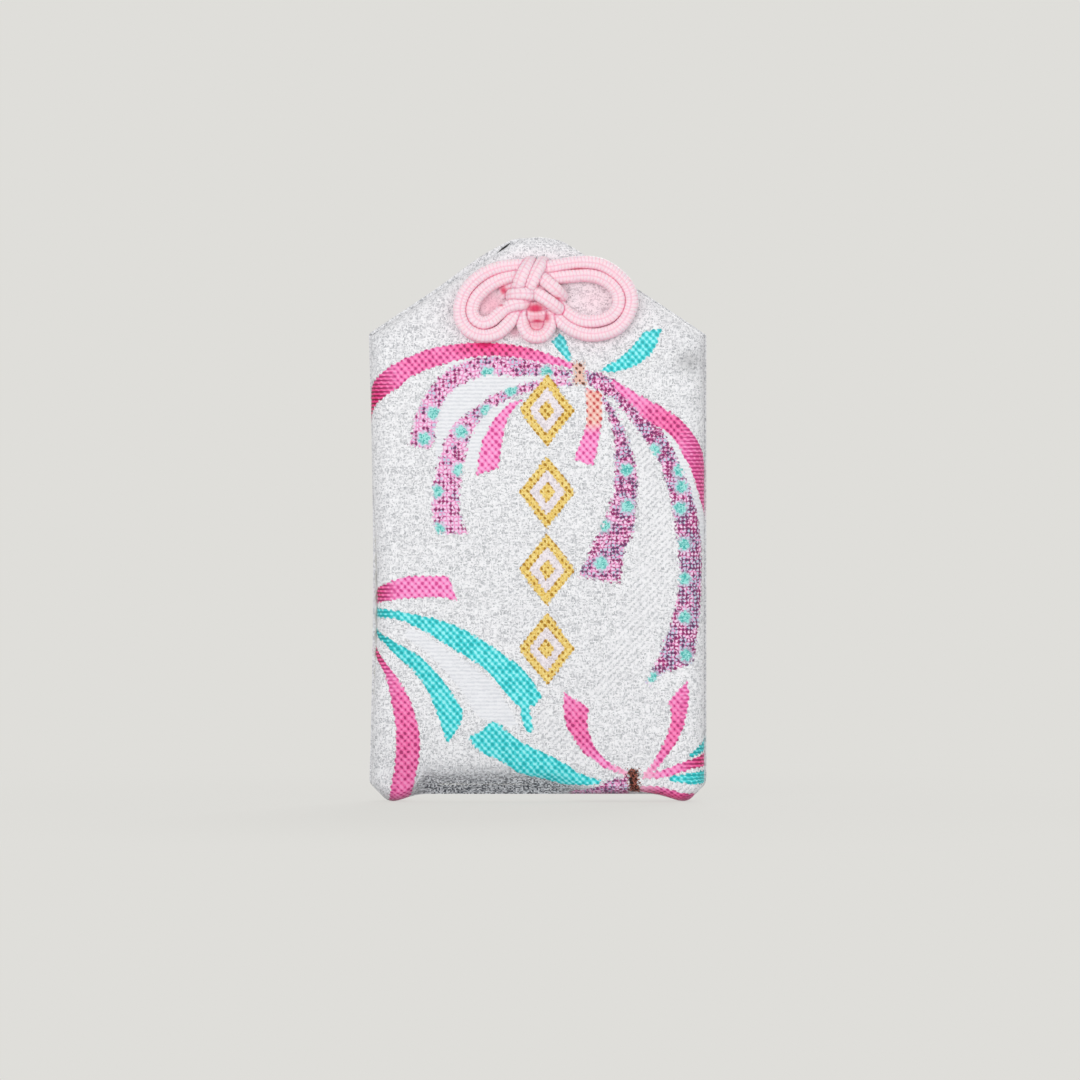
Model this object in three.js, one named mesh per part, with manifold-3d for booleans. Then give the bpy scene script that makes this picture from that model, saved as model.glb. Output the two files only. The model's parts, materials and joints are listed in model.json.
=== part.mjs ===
// An amulet pouch of woven brocade. Two cloth panels are sewn into a flat bag with a peaked top, which holds a
// wooden talisman slip in folded paper and a stiffener card. One braided cord goes through the peak: on the
// front it is tied in a bow knot with doubled ears, and at the back it is left as a hanging loop.
// Millimetres, +Z up. The front faces -Y, and the origin is under the middle of the bag's bottom edge.
import * as THREE from "three";
import { mergeVertices } from "three/addons/utils/BufferGeometryUtils.js";
import Module from "manifold-3d";

// Outline of the bag, seen from the front
const bagWidth = 45;
const bagHeight = 76;
const shoulderHeight = 62.5;
const peakWidth = 10;
const peakTopWidth = 6;
const peakRise = 1.5;
const waistDraw = 0.4;
const cornerRadius = 1.8;

// Section of the bag, from front to back
const clothThickness = 0.6;
const interliningThickness = 0.4;
const sideRound = 3;
const bottomRound = 1;
const hemDepth = 1.4;
const mouthThickness = 2.8;
const seamGap = 0.8;
const pieceGap = 0.3;

// Contents of the bag
const cardWidth = 38;
const cardHeight = 50;
const cardThickness = 0.6;
const slipWidth = 26;
const slipHeight = 44;
const slipThickness = 0.9;
const paperThickness = 0.2;
const paperGap = 0.15;
const wrapperMargin = 1;
const flapOverlap = 10;

// Sewing thread
const threadDiameter = 0.3;
const threadMargin = 0.03;
const stitchLength = 2.5;

// Cord and its eyelets
const cordDiameter = 1.7;
const eyeletSpacing = 4.4;
const eyeletDrop = 4.2;
const eyeletClearance = 0.3;
const interliningDrop = 2;

// Bow knot on the front
const knotWidth = 5.6;
const knotHeight = 8.3;
const knotOffset = 0.3;
const knotRise = 1.2;
const knotStandoff = 0.4;
const knotCornerRadius = 0.8;
const weaveSink = 0.35;
const weaveOverlap = 0.07;
const knotReach = 10;

// Worked-out sizes
const cordRadius = cordDiameter / 2;
const packetThickness = slipThickness + 3 * (paperThickness + paperGap);
const contentsDepth = packetThickness + pieceGap + cardThickness;
const liningDepth = clothThickness + pieceGap + interliningThickness + pieceGap;
const bagThickness = contentsDepth + 2 * liningDepth;
const contentsFloor = hemDepth + clothThickness + pieceGap;
const taperStart = contentsFloor + cardHeight + pieceGap;
const slantTop = bagHeight - peakRise;
const eyeletHeight = bagHeight - eyeletDrop;
const loopDepth = bagThickness / 2 + pieceGap + cordRadius;

const wasm = await Module();
wasm.setup();

// A closed geometry as a solid for joining and cutting
function solidOf(geometry) {
  const bare = new THREE.BufferGeometry();
  const source = geometry.index ? geometry.toNonIndexed() : geometry;
  bare.setAttribute("position", source.getAttribute("position"));
  const merged = mergeVertices(bare, 1e-4);
  const triangles = [];
  const index = merged.index.array;
  for (let i = 0; i < index.length; i += 3) {
    const [a, b, c] = [index[i], index[i + 1], index[i + 2]];
    if (a !== b && b !== c && c !== a) triangles.push(a, b, c);
  }
  return new wasm.Manifold(
    new wasm.Mesh({
      numProp: 3,
      vertProperties: merged.attributes.position.array,
      triVerts: new Uint32Array(triangles),
    }),
  );
}

// A joined or cut solid as a geometry again
function geometryOf(solid) {
  const mesh = solid.getMesh();
  const geometry = new THREE.BufferGeometry();
  geometry.setAttribute("position", new THREE.BufferAttribute(mesh.vertProperties, 3));
  geometry.setIndex(new THREE.BufferAttribute(mesh.triVerts, 1));
  const faceted = geometry.toNonIndexed();
  faceted.computeVertexNormals();
  return faceted;
}

// Half the bag's width at a height
function halfWidthAt(z) {
  const side = bagWidth / 2;
  if (z < cornerRadius) {
    const fromCentre = cornerRadius - z;
    return side - cornerRadius + Math.sqrt(cornerRadius ** 2 - fromCentre ** 2);
  }
  if (z < shoulderHeight) {
    const along = (z - cornerRadius) / (shoulderHeight - cornerRadius);
    return side - waistDraw * Math.sin(Math.PI * along);
  }
  if (z < slantTop) {
    const along = (z - shoulderHeight) / (slantTop - shoulderHeight);
    return THREE.MathUtils.lerp(side, peakWidth / 2, along);
  }
  return THREE.MathUtils.lerp(peakWidth / 2, peakTopWidth / 2, ((z - slantTop) / peakRise) ** 2);
}

// Half the bag's thickness at a height, in the middle of its width
function halfDepthAt(z) {
  const along = THREE.MathUtils.smoothstep(z, taperStart, bagHeight);
  return THREE.MathUtils.lerp(bagThickness / 2, mouthThickness / 2, along);
}

// How far in from the side edge the panel reaches its full depth
function sideRoundAt(z) {
  return Math.min(sideRound, 0.8 * halfWidthAt(z));
}

// Direction in which the outline faces at a height, on the right side
function outlineNormalAt(z) {
  const step = 0.1;
  const low = Math.max(0, z - step);
  const high = Math.min(bagHeight, z + step);
  return new THREE.Vector3(high - low, 0, halfWidthAt(low) - halfWidthAt(high)).normalize();
}

// A thin closed solid between two grids of points with the same rows and columns
function sheetGeometry(outer, inner) {
  const rows = outer.length;
  const columns = outer[0].length;
  const triangles = [];
  const quad = (a, b, c, d) => triangles.push(a, b, c, a, c, d);
  for (let r = 0; r + 1 < rows; r++) {
    for (let c = 0; c + 1 < columns; c++) {
      quad(outer[r][c], outer[r][c + 1], outer[r + 1][c + 1], outer[r + 1][c]);
      quad(inner[r][c], inner[r + 1][c], inner[r + 1][c + 1], inner[r][c + 1]);
    }
    const last = columns - 1;
    quad(outer[r][last], inner[r][last], inner[r + 1][last], outer[r + 1][last]);
    quad(outer[r][0], outer[r + 1][0], inner[r + 1][0], inner[r][0]);
  }
  for (let c = 0; c + 1 < columns; c++) {
    const top = rows - 1;
    quad(outer[0][c], inner[0][c], inner[0][c + 1], outer[0][c + 1]);
    quad(outer[top][c], outer[top][c + 1], inner[top][c + 1], inner[top][c]);
  }
  return new THREE.BufferGeometry().setFromPoints(triangles);
}

// Heights of the panel's rows, each with the depth that the rounded bottom allows there
function panelRows() {
  const rows = [{ z: 0, depth: seamGap / 2 }];
  const footHalf = bagThickness / 2 - bottomRound;
  for (const turn of [0, 30, 60, 90]) {
    const angle = THREE.MathUtils.degToRad(turn);
    rows.push({
      z: bottomRound * (1 - Math.cos(angle)),
      depth: footHalf + bottomRound * Math.sin(angle),
    });
  }
  const bodyStart = Math.max(bottomRound, cornerRadius);
  const bodyRows = 7;
  const slantRows = 6;
  for (let i = 0; i <= bodyRows; i++) {
    const z = THREE.MathUtils.lerp(bodyStart, shoulderHeight, i / bodyRows);
    if (z > bottomRound) rows.push({ z, depth: bagThickness });
  }
  for (let i = 1; i <= slantRows; i++) {
    rows.push({ z: THREE.MathUtils.lerp(shoulderHeight, slantTop, i / slantRows), depth: bagThickness });
  }
  rows.push({ z: slantTop + peakRise / 2, depth: bagThickness });
  rows.push({ z: bagHeight, depth: bagThickness });
  return rows;
}

// Places across the panel, from edge to edge: the turn of the rounded side and the share of the flat width
function panelColumns() {
  const edge = [0, 30, 60].map((turn) => ({ turn: THREE.MathUtils.degToRad(turn), share: 1 }));
  const flatColumns = 8;
  const columns = edge.map((e) => ({ ...e, share: -1 }));
  for (let i = 0; i <= flatColumns; i++) {
    columns.push({ turn: Math.PI / 2, share: (2 * i) / flatColumns - 1 });
  }
  return columns.concat(edge.reverse());
}

// The front panel: a shallow tray of cloth whose edges turn back towards the seam, pierced by two eyelets. At the
// bottom the cloth goes on inside as a hem, which stands up along the seam.
function frontPanelSolid() {
  const rows = panelRows();
  const columns = panelColumns();
  const outer = rows.map(({ z, depth }) => {
    const round = sideRoundAt(z);
    const flat = halfWidthAt(z) - round;
    const full = Math.min(depth, halfDepthAt(z)) - seamGap / 2;
    return columns.map(({ turn, share }) => {
      const x = share * flat + Math.sign(share) * round * Math.cos(turn);
      return new THREE.Vector3(x, -seamGap / 2 - full * Math.sin(turn), z);
    });
  });
  const normals = gridNormals(outer);
  const last = rows.length - 1;
  const inner = outer.map((row, r) =>
    row.map((point, c) => {
      const normal = normals[r][c];
      const rim = columns[c].turn === 0;
      if (rim) {
        normal.copy(outlineNormalAt(rows[r].z));
        normal.x *= Math.sign(columns[c].share);
      }
      const hem = r === 0 && !rim;
      if (hem) normal.set(0, 0, -1);
      if (r === last) normal.setZ(0).normalize();
      return point.clone().addScaledVector(normal, -clothThickness - (hem ? hemDepth : 0));
    }),
  );
  let solid = solidOf(sheetGeometry(outer, inner));
  for (const side of [-1, 1]) {
    const radius = cordRadius + eyeletClearance;
    const hole = new THREE.CylinderGeometry(radius, radius, bagThickness, 16);
    hole.translate((side * eyeletSpacing) / 2, -bagThickness / 2, eyeletHeight);
    solid = solid.subtract(solidOf(hole));
  }
  return solid;
}

// Directions in which a grid of points faces, averaged over the quads around each point
function gridNormals(grid) {
  const normals = grid.map((row) => row.map(() => new THREE.Vector3()));
  for (let r = 0; r + 1 < grid.length; r++) {
    for (let c = 0; c + 1 < grid[0].length; c++) {
      const across = grid[r + 1][c + 1].clone().sub(grid[r][c]);
      const back = grid[r + 1][c].clone().sub(grid[r][c + 1]);
      const facing = across.cross(back).normalize();
      for (const [i, j] of [[r, c], [r, c + 1], [r + 1, c], [r + 1, c + 1]]) normals[i][j].add(facing);
    }
  }
  for (const row of normals) row.forEach((normal) => normal.normalize());
  return normals;
}

// Backing sheet that lies behind the flat part of the front panel, up to below the eyelets
function frontInterliningGeometry() {
  const low = bottomRound + contentsFloor;
  const high = eyeletHeight - cordRadius - eyeletClearance - interliningDrop;
  const heights = [low];
  for (let i = 0; i <= 3; i++) heights.push(THREE.MathUtils.lerp(taperStart, shoulderHeight, i / 3));
  for (let i = 1; i <= 2; i++) heights.push(THREE.MathUtils.lerp(shoulderHeight, high, i / 2));
  const shares = [-1, -0.5, 0, 0.5, 1];
  const layer = (inset) =>
    heights.map((z) => {
      const half = halfWidthAt(z) - sideRoundAt(z);
      return shares.map((share) => new THREE.Vector3(share * half, inset - halfDepthAt(z), z));
    });
  const inset = clothThickness + pieceGap;
  return sheetGeometry(layer(inset), layer(inset + interliningThickness));
}

// The same geometry on the other side of the bag's middle plane
function mirroredFrontToBack(geometry) {
  const copy = geometry.clone();
  copy.scale(1, -1, 1);
  const position = copy.getAttribute("position");
  for (let i = 0; i < position.count; i += 3) {
    const [x, y, z] = [position.getX(i), position.getY(i), position.getZ(i)];
    position.setXYZ(i, position.getX(i + 1), position.getY(i + 1), position.getZ(i + 1));
    position.setXYZ(i + 1, x, y, z);
  }
  copy.computeVertexNormals();
  return copy;
}

// A round cord or thread along a smooth curve through points
function tubeGeometry(points, radius, sides, steps) {
  const section = new THREE.Shape();
  for (let i = 0; i < sides; i++) {
    const angle = (2 * Math.PI * i) / sides;
    const [x, y] = [radius * Math.cos(angle), radius * Math.sin(angle)];
    if (i === 0) section.moveTo(x, y);
    else section.lineTo(x, y);
  }
  section.closePath();
  const curve = new THREE.CatmullRomCurve3(points, false, "centripetal");
  return new THREE.ExtrudeGeometry(section, { steps, extrudePath: curve, bevelEnabled: false });
}

// Sewing thread that waves in and out along a seam, which placeAt gives for a distance and an inset
function seamThreadGeometry(length, placeAt) {
  const middle = clothThickness / 2;
  const wave = middle - threadDiameter / 2 - threadMargin;
  const stitches = Math.round(length / stitchLength);
  const points = [];
  for (let i = 0; i <= 2 * stitches; i++) {
    const inset = middle + (i % 2 ? wave : -wave);
    points.push(placeAt((i / (2 * stitches)) * length, inset));
  }
  return tubeGeometry(points, threadDiameter / 2, 5, 4 * stitches);
}

// Folded paper around the slip, seen from above: it starts at the back and laps over itself there
function wrapperShape() {
  const wall = paperThickness + paperGap;
  const half = slipWidth / 2;
  const front = -wall;
  const flap = slipThickness + paperGap;
  const overFlap = flap + wall;
  const lap = flapOverlap / 2;
  const outline = [
    [-half - wall, front],
    [half + wall, front],
    [half + wall, overFlap + paperThickness],
    [-lap, overFlap + paperThickness],
    [-lap, overFlap],
    [half + paperGap, overFlap],
    [half + paperGap, -paperGap],
    [-half - paperGap, -paperGap],
    [-half - paperGap, flap],
    [lap, flap],
    [lap, flap + paperThickness],
    [-half - wall, flap + paperThickness],
  ];
  return new THREE.Shape(outline.map(([x, y]) => new THREE.Vector2(x, y)));
}

// A rectangle with round corners, centred on the origin
function roundedRectangle(width, height, radius) {
  const shape = new THREE.Shape();
  const [x, y] = [width / 2 - radius, height / 2 - radius];
  shape.absarc(x, y, radius, 0, Math.PI / 2);
  shape.absarc(-x, y, radius, Math.PI / 2, Math.PI);
  shape.absarc(-x, -y, radius, Math.PI, 1.5 * Math.PI);
  shape.absarc(x, -y, radius, 1.5 * Math.PI, 2 * Math.PI);
  shape.closePath();
  return shape;
}

// Middle of the knot: a block that holds the strands, with four pairs of strands laid round it like a pinwheel
function knotCentreGeometry() {
  const middle = knotRise - knotHeight / 2;
  const shape = roundedRectangle(knotWidth, knotHeight, knotCornerRadius);
  const block = new THREE.ExtrudeGeometry(shape, { depth: cordDiameter, bevelEnabled: false, curveSegments: 3 });
  block.rotateX(Math.PI / 2);
  block.translate(knotOffset, -knotStandoff, middle);
  let solid = solidOf(block);
  const half = knotWidth / 8;
  const weaveHeight = knotRise - knotWidth / 2;
  const weaveFront = -knotStandoff - cordDiameter - half + weaveSink;
  for (let cell = 0; cell < 4; cell++) {
    for (const side of [-1, 1]) {
      const strand = new THREE.CapsuleGeometry(half + weaveOverlap, 2 * half, 3, 8);
      strand.rotateX(Math.PI / 2);
      strand.translate((side - 2) * half, 0, 2 * half);
      strand.rotateY((cell * Math.PI) / 2);
      strand.translate(knotOffset, weaveFront, weaveHeight);
      solid = solid.add(solidOf(strand));
    }
  }
  return geometryOf(solid);
}

// One strand of an ear, which lies flat on the front panel: its points are across and above the eyelets
function earGeometry(route, steps) {
  const depth = -knotStandoff - cordRadius;
  const points = route.map(([x, z]) => new THREE.Vector3(x, depth, z));
  return tubeGeometry(points, cordRadius, 8, steps);
}

const brocade = new THREE.MeshStandardMaterial({ color: 0xe4e4e4, roughness: 0.55, metalness: 0 });
const backing = new THREE.MeshStandardMaterial({ color: 0xf2f1ec, roughness: 0.95, metalness: 0 });
const board = new THREE.MeshStandardMaterial({ color: 0xcfc8ba, roughness: 0.9, metalness: 0 });
const paper = new THREE.MeshStandardMaterial({ color: 0xf7f5ee, roughness: 0.85, metalness: 0 });
const wood = new THREE.MeshStandardMaterial({ color: 0xd9bd8f, roughness: 0.7, metalness: 0 });
const thread = new THREE.MeshStandardMaterial({ color: 0xdadad6, roughness: 0.6, metalness: 0 });
const braid = new THREE.MeshStandardMaterial({ color: 0xf5d3db, roughness: 0.65, metalness: 0 });

const charm = new THREE.Group();

function addPiece(group, name, geometry, material) {
  const mesh = new THREE.Mesh(geometry, material);
  mesh.name = name;
  group.add(mesh);
  return mesh;
}

// Bag
const frontPanel = geometryOf(frontPanelSolid());
addPiece(charm, "front_panel", frontPanel, brocade);
addPiece(charm, "back_panel", mirroredFrontToBack(frontPanel), brocade);
const frontInterlining = frontInterliningGeometry();
addPiece(charm, "front_interlining", frontInterlining, backing);
addPiece(charm, "back_interlining", mirroredFrontToBack(frontInterlining), backing);

// Seams
const seamEnd = cornerRadius + threadDiameter;
const sideSeamLength = shoulderHeight - 2 * seamEnd;
for (const [name, side] of [["left", -1], ["right", 1]]) {
  const placeAt = (along, inset) => {
    const z = seamEnd + along;
    return new THREE.Vector3(side * (halfWidthAt(z) - inset), 0, z);
  };
  addPiece(charm, `${name}_seam_thread`, seamThreadGeometry(sideSeamLength, placeAt), thread);
}
const bottomSeamLength = bagWidth - 2 * (cornerRadius + seamEnd);
const bottomPlaceAt = (along, inset) => new THREE.Vector3(along - bottomSeamLength / 2, 0, hemDepth + inset);
addPiece(charm, "bottom_seam_thread", seamThreadGeometry(bottomSeamLength, bottomPlaceAt), thread);

// Contents, from front to back
const packetFront = -bagThickness / 2 + liningDepth;
const slip = new THREE.BoxGeometry(slipWidth, slipThickness, slipHeight);
const slipFront = packetFront + paperThickness + paperGap;
const slipFloor = contentsFloor + wrapperMargin;
const slipPiece = addPiece(charm, "talisman_slip", slip, wood);
slipPiece.position.set(0, slipFront + slipThickness / 2, slipFloor + slipHeight / 2);
const wrapperHeight = slipHeight + 2 * wrapperMargin;
const wrapper = new THREE.ExtrudeGeometry(wrapperShape(), { depth: wrapperHeight, bevelEnabled: false });
addPiece(charm, "talisman_wrapper", wrapper, paper).position.set(0, slipFront, contentsFloor);
const card = new THREE.BoxGeometry(cardWidth, cardThickness, cardHeight);
const cardFront = packetFront + packetThickness + pieceGap;
const cardPiece = addPiece(charm, "stiffener_card", card, board);
cardPiece.position.set(0, cardFront + cardThickness / 2, contentsFloor + cardHeight / 2);

// Cord through the eyelets, flush with the front and out as far as the hanging loop at the back
const passFront = -halfDepthAt(eyeletHeight);
const passBack = loopDepth - cordRadius - pieceGap;
for (const [name, side] of [["left", -1], ["right", 1]]) {
  const pass = new THREE.CylinderGeometry(cordRadius, cordRadius, passBack - passFront, 8);
  const piece = addPiece(charm, `${name}_cord_pass`, pass, braid);
  piece.position.set((side * eyeletSpacing) / 2, (passFront + passBack) / 2, eyeletHeight);
}

// Hanging loop, down the left leg: points across from the eyelet and above it
const loopLeg = [
  [0, 0],
  [0, -2.5],
  [-0.2, -6],
  [-0.9, -11],
  [-1.9, -16],
  [-2.9, -21],
  [-3.4, -25.5],
  [-3.3, -29],
  [-2.6, -32.2],
  [-0.5, -34.4],
];
const loopCrown = -35.1;
const leftLeg = loopLeg.map(([x, z]) => new THREE.Vector3(x - eyeletSpacing / 2, loopDepth, eyeletHeight + z));
const rightLeg = leftLeg.map((point) => new THREE.Vector3(-point.x, point.y, point.z)).reverse();
const crown = new THREE.Vector3(0, loopDepth, eyeletHeight + loopCrown);
const loop = tubeGeometry([...leftLeg, crown, ...rightLeg], cordRadius, 8, 36);
addPiece(charm, "hanging_loop", loop, braid);

// Bow knot, which leans with the front panel below the eyelets
const knot = new THREE.Group();
const knotFoot = eyeletHeight - knotReach;
knot.position.set(0, -halfDepthAt(eyeletHeight), eyeletHeight);
knot.rotation.x = -Math.atan2(halfDepthAt(knotFoot) - halfDepthAt(eyeletHeight), knotReach);
charm.add(knot);
addPiece(knot, "knot_centre", knotCentreGeometry(), braid);
const leftSide = knotOffset - knotWidth / 2 - pieceGap;
const rightSide = knotOffset + knotWidth / 2 + pieceGap;
const underSide = knotRise - knotHeight - pieceGap;
const rightEarOuter = [
  [rightSide, 0.3],
  [4.8, 0.45],
  [6.4, 0.75],
  [8.4, 0.45],
  [10.2, -0.5],
  [12, -2.35],
  [12.7, -4.4],
  [12, -6.7],
  [10.5, -8.35],
  [8.4, -9.1],
  [6.6, -8.75],
  [5.3, -7.1],
  [rightSide + cordRadius, -6.15],
  [rightSide, -6.1],
];
const rightEarInner = [
  [rightSide, -1.82],
  [5, -1.7],
  [6.5, -1.45],
  [8.2, -1.75],
  [9.6, -3],
  [10.3, -4.4],
  [9.8, -5.8],
  [8.5, -6.7],
  [7.1, -6.3],
  [6, -4.95],
  [5, -4.1],
  [rightSide + cordRadius, -3.95],
  [rightSide, -3.94],
];
const leftEarOuter = [
  [leftSide, 0.3],
  [-4.2, 0.15],
  [-5.6, -0.2],
  [-7.8, -1.3],
  [-9.5, -3.25],
  [-10.2, -5.2],
  [-10, -7],
  [-9, -8.55],
  [-7.2, -9.15],
  [-5.5, -8.6],
  [-4.7, -7.2],
  [leftSide - cordRadius, -6.2],
  [leftSide, -6.1],
];
const leftEarInner = [
  [leftSide, -1.82],
  [-4, -1.95],
  [-5.1, -2.3],
  [-6.6, -3.15],
  [-7.7, -4.6],
  [-7.95, -6],
  [-7.3, -6.9],
  [-6.3, -6.65],
  [-5.5, -5.3],
  [-4.5, -4.25],
  [leftSide - cordRadius, -3.95],
  [leftSide, -3.94],
];
const lowerEar = [
  [-1.7, underSide],
  [-1.65, underSide - 0.9],
  [-0.9, underSide - 1.9],
  [0.2, underSide - 2.2],
  [1.3, underSide - 1.9],
  [2.05, underSide - 0.9],
  [2.1, underSide],
];
addPiece(knot, "right_ear_outer", earGeometry(rightEarOuter, 28), braid);
addPiece(knot, "right_ear_inner", earGeometry(rightEarInner, 24), braid);
addPiece(knot, "left_ear_outer", earGeometry(leftEarOuter, 28), braid);
addPiece(knot, "left_ear_inner", earGeometry(leftEarInner, 24), braid);
addPiece(knot, "lower_ear", earGeometry(lowerEar, 14), braid);

export default charm;
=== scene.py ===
"""An amulet pouch of woven brocade, with a braided cord tied in a bow knot on its front.

The frame is in metres, with +Z up and the front facing -Y. The sections follow the charm as it is put
together, from the talisman inside to the knot outside. Sizes in them are in millimetres.
"""

import json
import math

import bpy
import numpy as np
from mathutils import Vector
from mathutils.kdtree import KDTree
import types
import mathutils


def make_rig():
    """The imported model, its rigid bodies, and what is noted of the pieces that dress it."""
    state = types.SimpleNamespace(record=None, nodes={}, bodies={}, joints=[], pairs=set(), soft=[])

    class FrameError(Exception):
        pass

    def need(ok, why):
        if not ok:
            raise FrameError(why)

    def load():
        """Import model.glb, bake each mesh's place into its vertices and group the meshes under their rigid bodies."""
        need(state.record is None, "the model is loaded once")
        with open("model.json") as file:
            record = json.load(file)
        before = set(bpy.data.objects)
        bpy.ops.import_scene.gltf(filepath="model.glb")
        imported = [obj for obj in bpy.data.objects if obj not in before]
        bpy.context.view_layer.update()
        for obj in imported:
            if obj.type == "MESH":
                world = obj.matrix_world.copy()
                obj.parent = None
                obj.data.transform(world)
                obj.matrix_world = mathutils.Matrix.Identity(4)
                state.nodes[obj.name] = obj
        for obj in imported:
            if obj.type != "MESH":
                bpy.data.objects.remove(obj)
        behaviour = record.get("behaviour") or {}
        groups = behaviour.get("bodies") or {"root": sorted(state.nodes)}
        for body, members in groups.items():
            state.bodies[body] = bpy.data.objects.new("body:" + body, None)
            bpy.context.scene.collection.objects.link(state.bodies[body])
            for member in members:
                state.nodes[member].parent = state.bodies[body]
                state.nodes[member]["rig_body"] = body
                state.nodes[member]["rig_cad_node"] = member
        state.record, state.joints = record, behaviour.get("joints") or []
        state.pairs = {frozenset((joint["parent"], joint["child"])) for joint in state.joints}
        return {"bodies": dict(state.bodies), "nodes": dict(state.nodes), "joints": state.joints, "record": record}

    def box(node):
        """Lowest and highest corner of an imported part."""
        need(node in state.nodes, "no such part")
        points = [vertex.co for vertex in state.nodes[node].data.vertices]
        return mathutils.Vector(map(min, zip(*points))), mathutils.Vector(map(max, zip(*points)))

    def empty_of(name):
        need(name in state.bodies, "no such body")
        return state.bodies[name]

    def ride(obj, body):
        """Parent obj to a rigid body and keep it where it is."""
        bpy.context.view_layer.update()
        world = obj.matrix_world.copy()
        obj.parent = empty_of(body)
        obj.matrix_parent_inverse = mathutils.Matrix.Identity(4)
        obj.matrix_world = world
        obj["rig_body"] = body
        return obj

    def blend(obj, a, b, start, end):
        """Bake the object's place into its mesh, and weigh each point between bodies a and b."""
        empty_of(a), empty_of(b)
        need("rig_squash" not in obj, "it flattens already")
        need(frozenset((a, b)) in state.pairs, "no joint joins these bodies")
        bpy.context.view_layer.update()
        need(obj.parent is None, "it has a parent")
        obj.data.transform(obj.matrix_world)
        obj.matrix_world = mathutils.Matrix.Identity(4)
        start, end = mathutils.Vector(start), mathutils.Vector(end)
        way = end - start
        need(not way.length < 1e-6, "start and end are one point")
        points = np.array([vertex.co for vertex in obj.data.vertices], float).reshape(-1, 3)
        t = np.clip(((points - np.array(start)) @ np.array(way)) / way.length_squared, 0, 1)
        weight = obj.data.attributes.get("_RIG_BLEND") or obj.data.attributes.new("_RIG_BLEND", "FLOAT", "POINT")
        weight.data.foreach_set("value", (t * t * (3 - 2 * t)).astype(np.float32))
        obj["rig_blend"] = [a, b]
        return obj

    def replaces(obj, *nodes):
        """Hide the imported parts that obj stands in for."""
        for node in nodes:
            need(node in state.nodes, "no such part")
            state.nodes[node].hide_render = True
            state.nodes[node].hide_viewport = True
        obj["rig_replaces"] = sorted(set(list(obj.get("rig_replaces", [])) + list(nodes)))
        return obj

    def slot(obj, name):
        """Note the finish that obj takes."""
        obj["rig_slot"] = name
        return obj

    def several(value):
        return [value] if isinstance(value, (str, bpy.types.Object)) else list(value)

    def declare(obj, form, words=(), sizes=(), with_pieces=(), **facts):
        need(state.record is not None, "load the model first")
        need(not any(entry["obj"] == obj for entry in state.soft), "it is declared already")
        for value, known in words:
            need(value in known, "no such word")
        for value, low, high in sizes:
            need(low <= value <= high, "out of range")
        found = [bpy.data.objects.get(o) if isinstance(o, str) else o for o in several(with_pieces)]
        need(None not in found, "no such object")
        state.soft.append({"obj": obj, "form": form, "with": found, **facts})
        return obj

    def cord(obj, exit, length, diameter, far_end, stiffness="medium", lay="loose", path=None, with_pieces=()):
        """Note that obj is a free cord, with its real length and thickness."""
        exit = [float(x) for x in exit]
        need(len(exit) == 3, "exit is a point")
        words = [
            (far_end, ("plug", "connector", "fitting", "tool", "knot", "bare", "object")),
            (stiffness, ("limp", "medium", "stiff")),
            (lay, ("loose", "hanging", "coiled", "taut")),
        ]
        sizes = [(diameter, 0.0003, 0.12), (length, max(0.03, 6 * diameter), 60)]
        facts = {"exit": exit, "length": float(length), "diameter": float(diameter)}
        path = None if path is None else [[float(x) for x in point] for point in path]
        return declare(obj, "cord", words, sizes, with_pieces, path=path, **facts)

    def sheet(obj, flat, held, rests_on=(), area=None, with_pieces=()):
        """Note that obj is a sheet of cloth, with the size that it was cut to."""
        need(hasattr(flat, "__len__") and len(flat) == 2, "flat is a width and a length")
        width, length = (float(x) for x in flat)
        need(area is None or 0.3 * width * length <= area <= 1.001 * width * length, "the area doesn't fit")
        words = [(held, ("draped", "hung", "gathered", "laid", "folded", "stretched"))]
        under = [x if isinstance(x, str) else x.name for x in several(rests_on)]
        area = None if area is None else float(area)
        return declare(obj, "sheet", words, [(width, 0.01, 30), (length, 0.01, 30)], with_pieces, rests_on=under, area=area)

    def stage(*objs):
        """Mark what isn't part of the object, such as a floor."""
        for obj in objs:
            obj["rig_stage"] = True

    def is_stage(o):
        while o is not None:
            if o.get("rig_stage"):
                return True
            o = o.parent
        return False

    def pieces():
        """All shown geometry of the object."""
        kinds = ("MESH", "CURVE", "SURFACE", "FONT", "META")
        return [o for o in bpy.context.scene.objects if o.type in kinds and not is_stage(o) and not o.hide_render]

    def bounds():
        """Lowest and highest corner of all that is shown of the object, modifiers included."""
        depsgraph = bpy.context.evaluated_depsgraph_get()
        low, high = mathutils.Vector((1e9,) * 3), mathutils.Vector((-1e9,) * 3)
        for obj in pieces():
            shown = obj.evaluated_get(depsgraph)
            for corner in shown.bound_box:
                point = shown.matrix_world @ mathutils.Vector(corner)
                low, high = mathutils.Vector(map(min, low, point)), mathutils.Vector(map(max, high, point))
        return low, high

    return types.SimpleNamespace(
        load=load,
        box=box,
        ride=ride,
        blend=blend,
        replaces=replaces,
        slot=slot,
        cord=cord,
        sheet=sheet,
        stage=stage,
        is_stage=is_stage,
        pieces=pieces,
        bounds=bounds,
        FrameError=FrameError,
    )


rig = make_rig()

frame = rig.load()
cad_low, cad_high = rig.bounds()
MM = 0.001


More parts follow.
